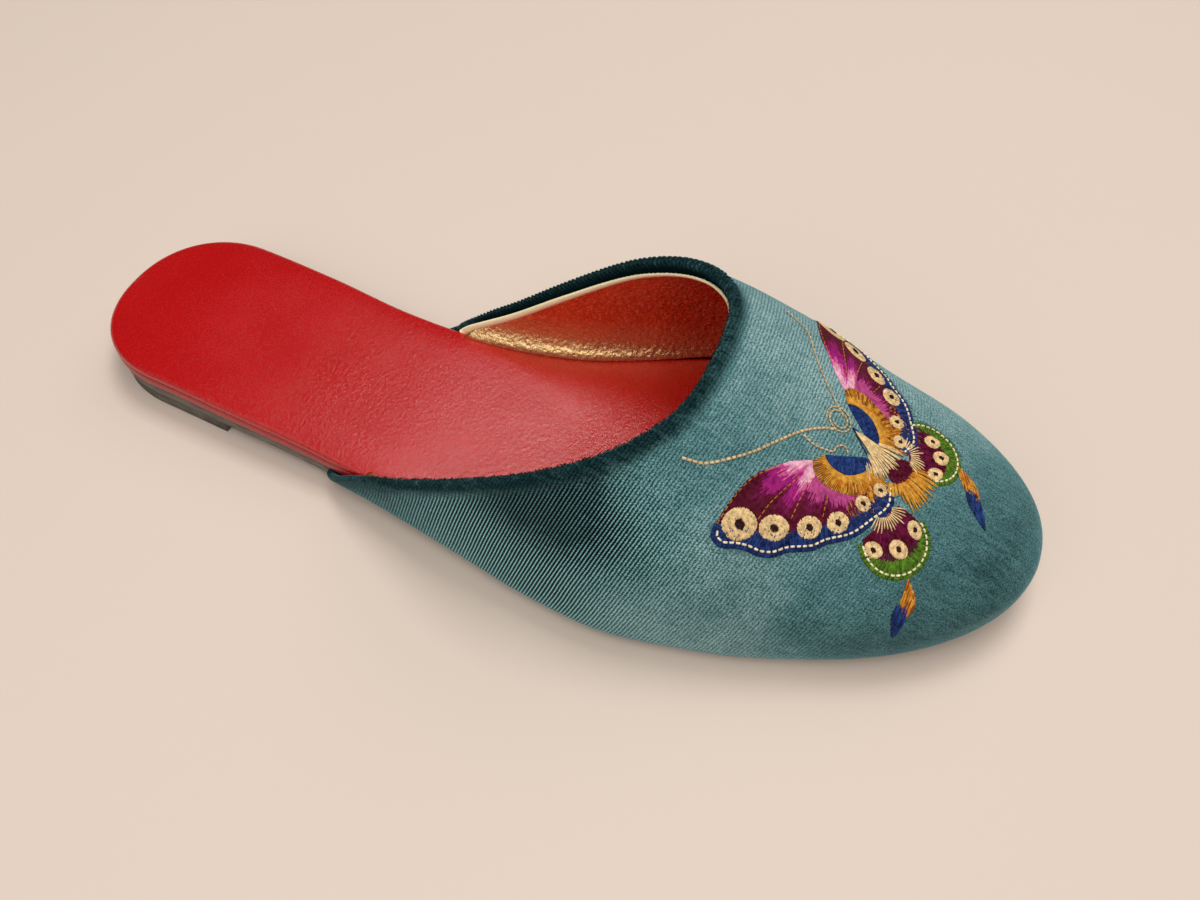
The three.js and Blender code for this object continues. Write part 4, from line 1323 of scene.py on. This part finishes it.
def draw_forewing(sewing, mirror):
    flip = np.array([1.0, mirror])
    edge, top, crescent, disc = (curve(line) * flip for line in (EDGE, TOP, CRESCENT, DISC))
    inward = -mirror
    fan = np.array(FAN_CENTRE) * flip
    inner_edge = shifted(edge, BORDER_WIDTH * 0.8 * inward)
    field = np.concatenate([crescent[:-10], inner_edge[::-1][20:], top[::-1][:-20]])
    for start, end in rays(field, fan, radius=26.0):
        span = np.linalg.norm(end - start)
        first = np.linalg.norm(start - fan)
        heading = math.degrees(math.atan2(start[0] - fan[0], (start[1] - fan[1]) * mirror))
        panel = sum(heading > limit for limit in PANEL_HEADINGS)
        low, high = PANEL_BOUNDS[panel:panel + 2]
        bulge = SCALLOP * (0.5 - min(1.0, abs(2 * (heading - low) / (high - low) - 1)) ** 2)
        for a, b in broken(start, end, length=2.2):
            reached = (np.linalg.norm((a + b) / 2 - fan) - first) / max(span, TINY)
            share = reached + RANDOM.normal(0, 0.03) - bulge
            sewing.sew(next(name for name, limit in SHADES[panel] if share < limit), a, b, lift=0.06)
    band = np.concatenate([crescent, disc[::-1]])
    for start, end in rays(band, np.array(BAND_CENTRE) * flip, radius=6.5):
        span = np.linalg.norm(end - start)
        rim = min(0.45, 1.5 / max(span, 0.1)) * RANDOM.uniform(0.7, 1.3)
        sewing.sew("gold", start, lerp(start, end, min(1.0, rim + 0.1)), lift=0.12)
        rest = [(lerp(start, end, rim), end)]
        sewing.fill(rest, ["ochre", "gold", "rust", "ochre", "gold", "ochre"], length=2.0, lift=0.08)
    ground = np.array(SPOT_GROUND) * flip
    sewing.fill(hatch(ground, 0.9 * mirror), ["ochre", "gold", "rust"], length=1.8, lift=0.04)
    along, out = disc[-1] - disc[0]
    chord = math.atan2(out, along)
    rows = hatch(disc, chord + math.pi / 2 * mirror)
    sewing.fill(rows, ["blue", "blue", "navy"], length=1.7, lift=0.1)
    draw_border(sewing, edge, inward)
    for centre, half_long, half_wide, heading in SPOTS:
        draw_spot(sewing, np.array(centre) * flip, half_long, half_wide, heading * mirror)
    for vein in VEINS:
        sewing.run("ochre", curve(vein) * flip, length=0.95, gap=0.35, lift=0.26, width=0.26)
    rim = shifted(top, 0.2 * inward)[24:]
    sewing.run("ochre", rim, length=0.95, gap=0.45, lift=0.2, width=0.28)


def draw_border(sewing, edge, inward):
    """Navy satin border with a cream running stitch near its outside and cloth pile pushed up along it."""
    travelled = run_length(edge)
    inner = shifted(edge, BORDER_WIDTH * inward)
    for place in np.arange(0, travelled[-1], SATIN_PITCH):
        outside, inside, ahead = (read_line(place + lead, travelled, line)
                                  for line, lead in ((edge, 0.0), (inner, 0.5), (edge, 0.5)))
        sewing.satin(outside, inside, ["navy", "navy", "blue"], length=1.9)
        if RANDOM.uniform() < 0.4:
            away = (outside - inside) / np.linalg.norm(outside - inside)
            lean = (ahead - outside) * RANDOM.uniform(0.2, 1.2)
            tip = outside + away * RANDOM.uniform(0.5, 1.2) + lean
            sewing.sew("teal_pile", outside - away * 0.1, tip, lift=0.03, width=0.22)
    line = shifted(edge, 1.1 * inward)[3:]
    sewing.run("ivory", line, length=1.05, gap=0.28, lift=0.32, width=0.52)


def arc_line(centre, radius, first, last, mirror, count=60):
    turn = np.radians(np.linspace(first, last, count))
    return np.asarray(centre) + np.stack([np.cos(turn), np.sin(turn) * mirror], 1) * radius


def draw_hindwing(sewing, mirror):
    flip = np.array([1.0, mirror])
    centre = np.array(HIND[mirror]) * flip
    field = np.concatenate([arc_line(centre, HIND_RADIUS - FIELD_INSET, *FIELD_ARC, mirror),
                            centre + np.array(FIELD_REST) * flip])
    root = centre + np.array(FIELD_ROOT) * flip
    sewing.fill(rays(field, root, radius=9.0), ["maroon", "maroon", "plum"], length=2.6, lift=0.05)
    outer = arc_line(centre, HIND_RADIUS, *RING_ARC, mirror, 200)
    taper = np.sin(np.linspace(0.12, math.pi - 0.12, len(outer))) ** 0.7
    inner = centre + (outer - centre) * (1 - taper * RING_WIDTH / HIND_RADIUS)[:, None]
    steps = int(HIND_RADIUS * math.radians(RING_ARC[1] - RING_ARC[0]) / SATIN_PITCH)
    for share in np.linspace(0, 1, steps):
        place = share * (len(outer) - 1)
        outside, inside = (read_line(place, np.arange(len(line)), line) for line in (outer, inner))
        sewing.satin(outside, inside, ["green", "green", "moss"], length=1.8)
        away = (outside - centre) / HIND_RADIUS
        if RANDOM.uniform() < 0.6:
            tip = outside + away * RANDOM.uniform(0.4, 1.0)
            sewing.sew("teal_pile", outside, tip, lift=0.03, width=0.22)
    line = arc_line(centre, HIND_RADIUS - 1.0, *RING_ARC, mirror)
    sewing.run("ivory", line, length=1.0, gap=0.28, lift=0.32, width=0.5)
    for spot, half_long, half_wide, heading in HIND_SPOTS[mirror]:
        draw_spot(sewing, centre + np.array(spot) * flip, half_long, half_wide, heading * mirror)
    fringe = centre + np.array(FRINGE["root"]) * flip
    for heading in np.linspace(*FRINGE["headings"]):
        ahead = heading_axes(math.radians(heading))[0] * flip
        start, end = fringe + ahead * FRINGE["near"], fringe + ahead * RANDOM.uniform(*FRINGE["far"])
        sewing.sew("cream", start, end, lift=0.3, width=0.34)
    (gold_root, gold_tip), (navy_root, navy_tip) = np.array(TAILS[mirror]) * flip
    draw_leaf(sewing, gold_root, gold_tip, ["gold", "ochre", "rust"], half_width=1.75, bias=1.5, lift=0.1)
    draw_leaf(sewing, navy_root, navy_tip, ["navy", "blue"], half_width=1.7, bias=0.6, lift=0.16)


def draw_leaf(sewing, root, tip, threads, half_width, bias, lift):
    """Pointed leaf, fullest near its tip where bias is above one and near its root where it is below."""
    along = tip - root
    left = unit(np.array([-along[1], along[0]]))
    t = np.linspace(0, 1, 16)
    middle = root + np.outer(t, along)
    swell = np.outer(np.sin(np.pi * t ** bias) ** 0.8 * half_width, left)
    leaf = np.concatenate([middle + swell, (middle - swell)[::-1]])
    slant = math.atan2(along[1], along[0]) + 0.35
    sewing.fill(hatch(leaf, slant), threads, length=2.2, lift=lift)


def draw_fan(sewing, thread, centre, near, far, first, last, count, lift, width):
    """Loose strands fanning out from a centre, with uneven ends."""
    centre = np.asarray(centre)
    for heading in np.linspace(first, last, count) + RANDOM.normal(0, 1.0, count):
        ahead, _ = heading_axes(math.radians(heading))
        start = centre + ahead * near * RANDOM.uniform(0.9, 1.1)
        sewing.sew(thread, start, centre + ahead * far * RANDOM.uniform(0.88, 1.06), lift, width)


def draw_body(sewing):
    thorax = ellipse((-0.8, 0.1), half=(2.5, 3.5), heading=0.3)
    sewing.fill(hatch(thorax, heading=0.5), "maroon", length=2.0, lift=0.22)
    for fan in FANS:
        draw_fan(sewing, *fan)
    for side in (-0.7, 1.9):
        line = [(-14.2, -2.8), (-8.2, -1.2 + 1.5 * side)]
        sewing.run("navy", line, length=2.2, gap=0.0, lift=0.3, width=0.26)
    for line, width in zip(ANTENNAE, ANTENNA_WIDTHS):
        sewing.run("beige", curve(line), length=0.95, gap=0.22, lift=0.2, width=width)
    turn = np.linspace(0, CURL["turns"] * math.tau, 60)
    radius = CURL["radius"] * (1 - 0.5 * turn / turn[-1])
    turn = turn + CURL["start"]
    coil = np.array(CURL["centre"]) + np.stack([np.cos(turn), np.sin(turn)], 1) * radius[:, None]
    sewing.run("beige", coil, length=0.8, gap=0.18, lift=0.2, width=0.4)


def build_butterfly():
    chart = Chart()
    sewing = Stitches()
    for mirror in (1, -1):
        draw_hindwing(sewing, mirror)
        draw_forewing(sewing, mirror)
    draw_body(sewing)
    sewing.make(chart, "butterfly_")


COLLAR_RIB = {"pitch": 1.2, "stray": 0.06, "width": 0.5, "height": 0.8, "twist": -0.85, "outer": 2.2,
              "ends": (0.5, 8.0)}
# Ribs lie deeper in the pile on the near side; the turn is over these angles
RIB_SINK = {"far": 0.02, "near": 0.75, "turn": (105.0, 140.0)}
FUZZ = {"count": 3200, "length": (0.2, 0.5), "width": 0.2, "height": 0.14, "steps": 4, "spread": 0.45,
        "droop": 0.25, "sunk": 0.15}


def build_collar_pile(skin, rib_finish, fuzz_finish):
    """Ribs of pile that wrap over the rolled topline, and loose fuzz that frays its edge."""
    crest = int((EDGE_ROWS <= COLLAR_RIB["outer"]).sum()) - 1
    ids = skin.dome[:, :crest + 1]
    out, back = (skin.points[ids] + skin.normals[ids] * offset[ids][..., None] for offset in skin.wall())
    loops = np.concatenate([out[:, ::-1], back[:, 1:]], 1)
    ridge = loops[:, crest]
    lean = unit(np.cross(np.gradient(ridge, axis=0)[:, None], np.gradient(loops, axis=1)))
    lean *= np.sign(((loops - loops.mean(1, keepdims=True)) * lean).sum((1, 2)))[:, None, None]
    travelled = run_length(ridge)
    around = run_length(loops).mean(0)
    around -= around[crest]
    point = np.arange(len(around))

    def at(stops, twist):
        """Loops over the roll at stops along it, wound along it by the twist."""
        columns = np.interp(stops[:, None] + twist[:, None] * around, travelled, np.arange(len(loops)))
        columns = np.clip(columns, 0, len(loops) - GRID_END)
        first = columns.astype(int)
        t = (columns - first)[..., None]
        return (lerp(grid[first, point], grid[first + 1, point], t) for grid in (loops, lean))

    def angle_at(stops):
        return np.interp(stops, travelled, np.linspace(0, 180, len(loops)))

    def ends(angles):
        return smoothstep(np.minimum(angles, 180 - angles), *COLLAR_RIB["ends"])

    def add_strands(name, paths, normals, sizes, finish):
        widths = np.full(len(paths), sizes["width"])
        points, faces, uv = strand_mesh(paths, normals, widths, sizes["height"])
        make_piece(name, points, faces, finish, uv)

    stops = np.arange(0, travelled[-1], COLLAR_RIB["pitch"])
    angles = angle_at(stops)
    far = smoothstep(angles, *RIB_SINK["turn"])
    paths, normals = at(stops + RANDOM.normal(0, COLLAR_RIB["stray"], len(stops)), COLLAR_RIB["twist"] * far)
    sunk = lerp(RIB_SINK["near"], RIB_SINK["far"], far)
    sunk = (sunk + COLLAR_RIB["height"] * (1 - ends(angles)))[:, None, None]
    add_strands("collar_ribs", paths - normals * sunk, normals, COLLAR_RIB, rib_finish)

    count = FUZZ["count"]
    stops = RANDOM.uniform(0, travelled[-1], count)
    paths, normals = at(stops, np.zeros(count))
    which = RANDOM.integers(1, paths.shape[1] - 1, count)
    root, up = (rows[np.arange(count), which] for rows in (paths, normals))
    heading = unit(up + RANDOM.normal(0, FUZZ["spread"], up.shape))
    droop = RANDOM.normal(0, FUZZ["droop"], up.shape)
    t = np.linspace(0, 1, FUZZ["steps"])[None, :, None]
    length = RANDOM.uniform(*FUZZ["length"], count) * ends(angle_at(stops))
    bent = heading[:, None] * (t - FUZZ["sunk"]) + droop[:, None] * t**2
    hairs = root[:, None] + length[:, None, None] * bent
    flat = unit(np.cross(heading, RANDOM.normal(0, 1, up.shape)))
    add_strands("collar_fuzz", hairs, np.broadcast_to(flat[:, None], hairs.shape), FUZZ, fuzz_finish)


# Camera at the photograph's angle
CAMERA_AT = np.array([201.3, -125.9, 214.5])
CAMERA_AZIMUTH = 23.5
CAMERA_ELEVATION = 53.0
CAMERA_LENS = 31.5
SENSOR = 36.0


def add_aimed(name, data, at, ahead):
    """Camera or light at a place, facing ahead."""
    thing = bpy.data.objects.new(name, data)
    thing.location = at
    thing.rotation_mode = "QUATERNION"
    thing.rotation_quaternion = ahead.to_track_quat("-Z", "Y")
    bpy.context.scene.collection.objects.link(thing)
    return thing


def add_camera():
    data = bpy.data.cameras.new("camera")
    data.lens = CAMERA_LENS
    data.sensor_width = SENSOR
    data.clip_start = 0.01
    turn, lift = math.radians(CAMERA_AZIMUTH), math.radians(CAMERA_ELEVATION)
    ahead = Vector((-math.sin(turn) * math.cos(lift), math.cos(turn) * math.cos(lift), -math.sin(lift)))
    bpy.context.scene.camera = add_aimed("camera", data, Vector(CAMERA_AT * MM + ORIGIN), ahead)


# Lights, in metres: name, place, size, watts, colour; each faces the middle of the frame
LIGHTS = [
    ("window", (0.03, 0.40, 1.20), (0.5, 0.5), 7.4, (1.0, 0.97, 0.93)),
    ("front", (0.30, -0.50, 1.45), (1.5, 1.5), 17.4, (1.0, 0.95, 0.91)),
    ("fill", (-0.25, -0.90, 0.70), (1.0, 0.8), 3.0, (1.0, 0.97, 0.94)),
    ("back", (0.5, 1.4, 1.3), (1.6, 1.0), 6, (1.0, 0.96, 0.92)),
]
FLOOR_HALF = 3.0
WORLD = {"Color": (1.0, 0.95, 0.9, 1), "Strength": 0.055}


def add_light(name, at, size, watts, colour):
    data = bpy.data.lights.new(name, "AREA")
    data.shape = "RECTANGLE"
    data.size, data.size_y = size
    data.energy = watts
    data.color = colour
    add_aimed(name, data, at, -Vector(at))


def add_stage():
    mesh = bpy.data.meshes.new("floor")
    corners = [(FLOOR_HALF * x, FLOOR_HALF * y, 0) for x, y in ((-1, -1), (1, -1), (1, 1), (-1, 1))]
    mesh.from_pydata(corners, [], [(0, 1, 2, 3)])
    mesh.materials.append(floor_finish())
    floor = bpy.data.objects.new("floor", mesh)
    bpy.context.scene.collection.objects.link(floor)
    world = bpy.data.worlds.new("studio")
    world.use_nodes = True
    for name, value in WORLD.items():
        world.node_tree.nodes["Background"].inputs[name].default_value = value
    bpy.context.scene.world = world
    for light in LIGHTS:
        add_light(*light)
    bpy.context.scene.view_settings.view_transform = "Standard"


def main():
    add_camera()
    add_stage()
    skin = VampSkin()
    build_velvet(skin, velvet_finish())
    build_lining(skin, lining_finish())
    build_lining_edge(skin, lining_edge_finish())
    build_collar_pile(skin, collar_finish("collar_ribs", lift=1.1), collar_finish("collar_fuzz", lift=0.3))
    build_butterfly()
    build_sock(red_leather_finish("sock_leather", SOCK_RED, grain=0.46, gloss=0.225))
    build_board(red_leather_finish("edge_leather", EDGE_RED, grain=0.22, gloss=0.36))
    build_outsole(sole_leather_finish())
    build_lift(lift_rubber_finish())


main()
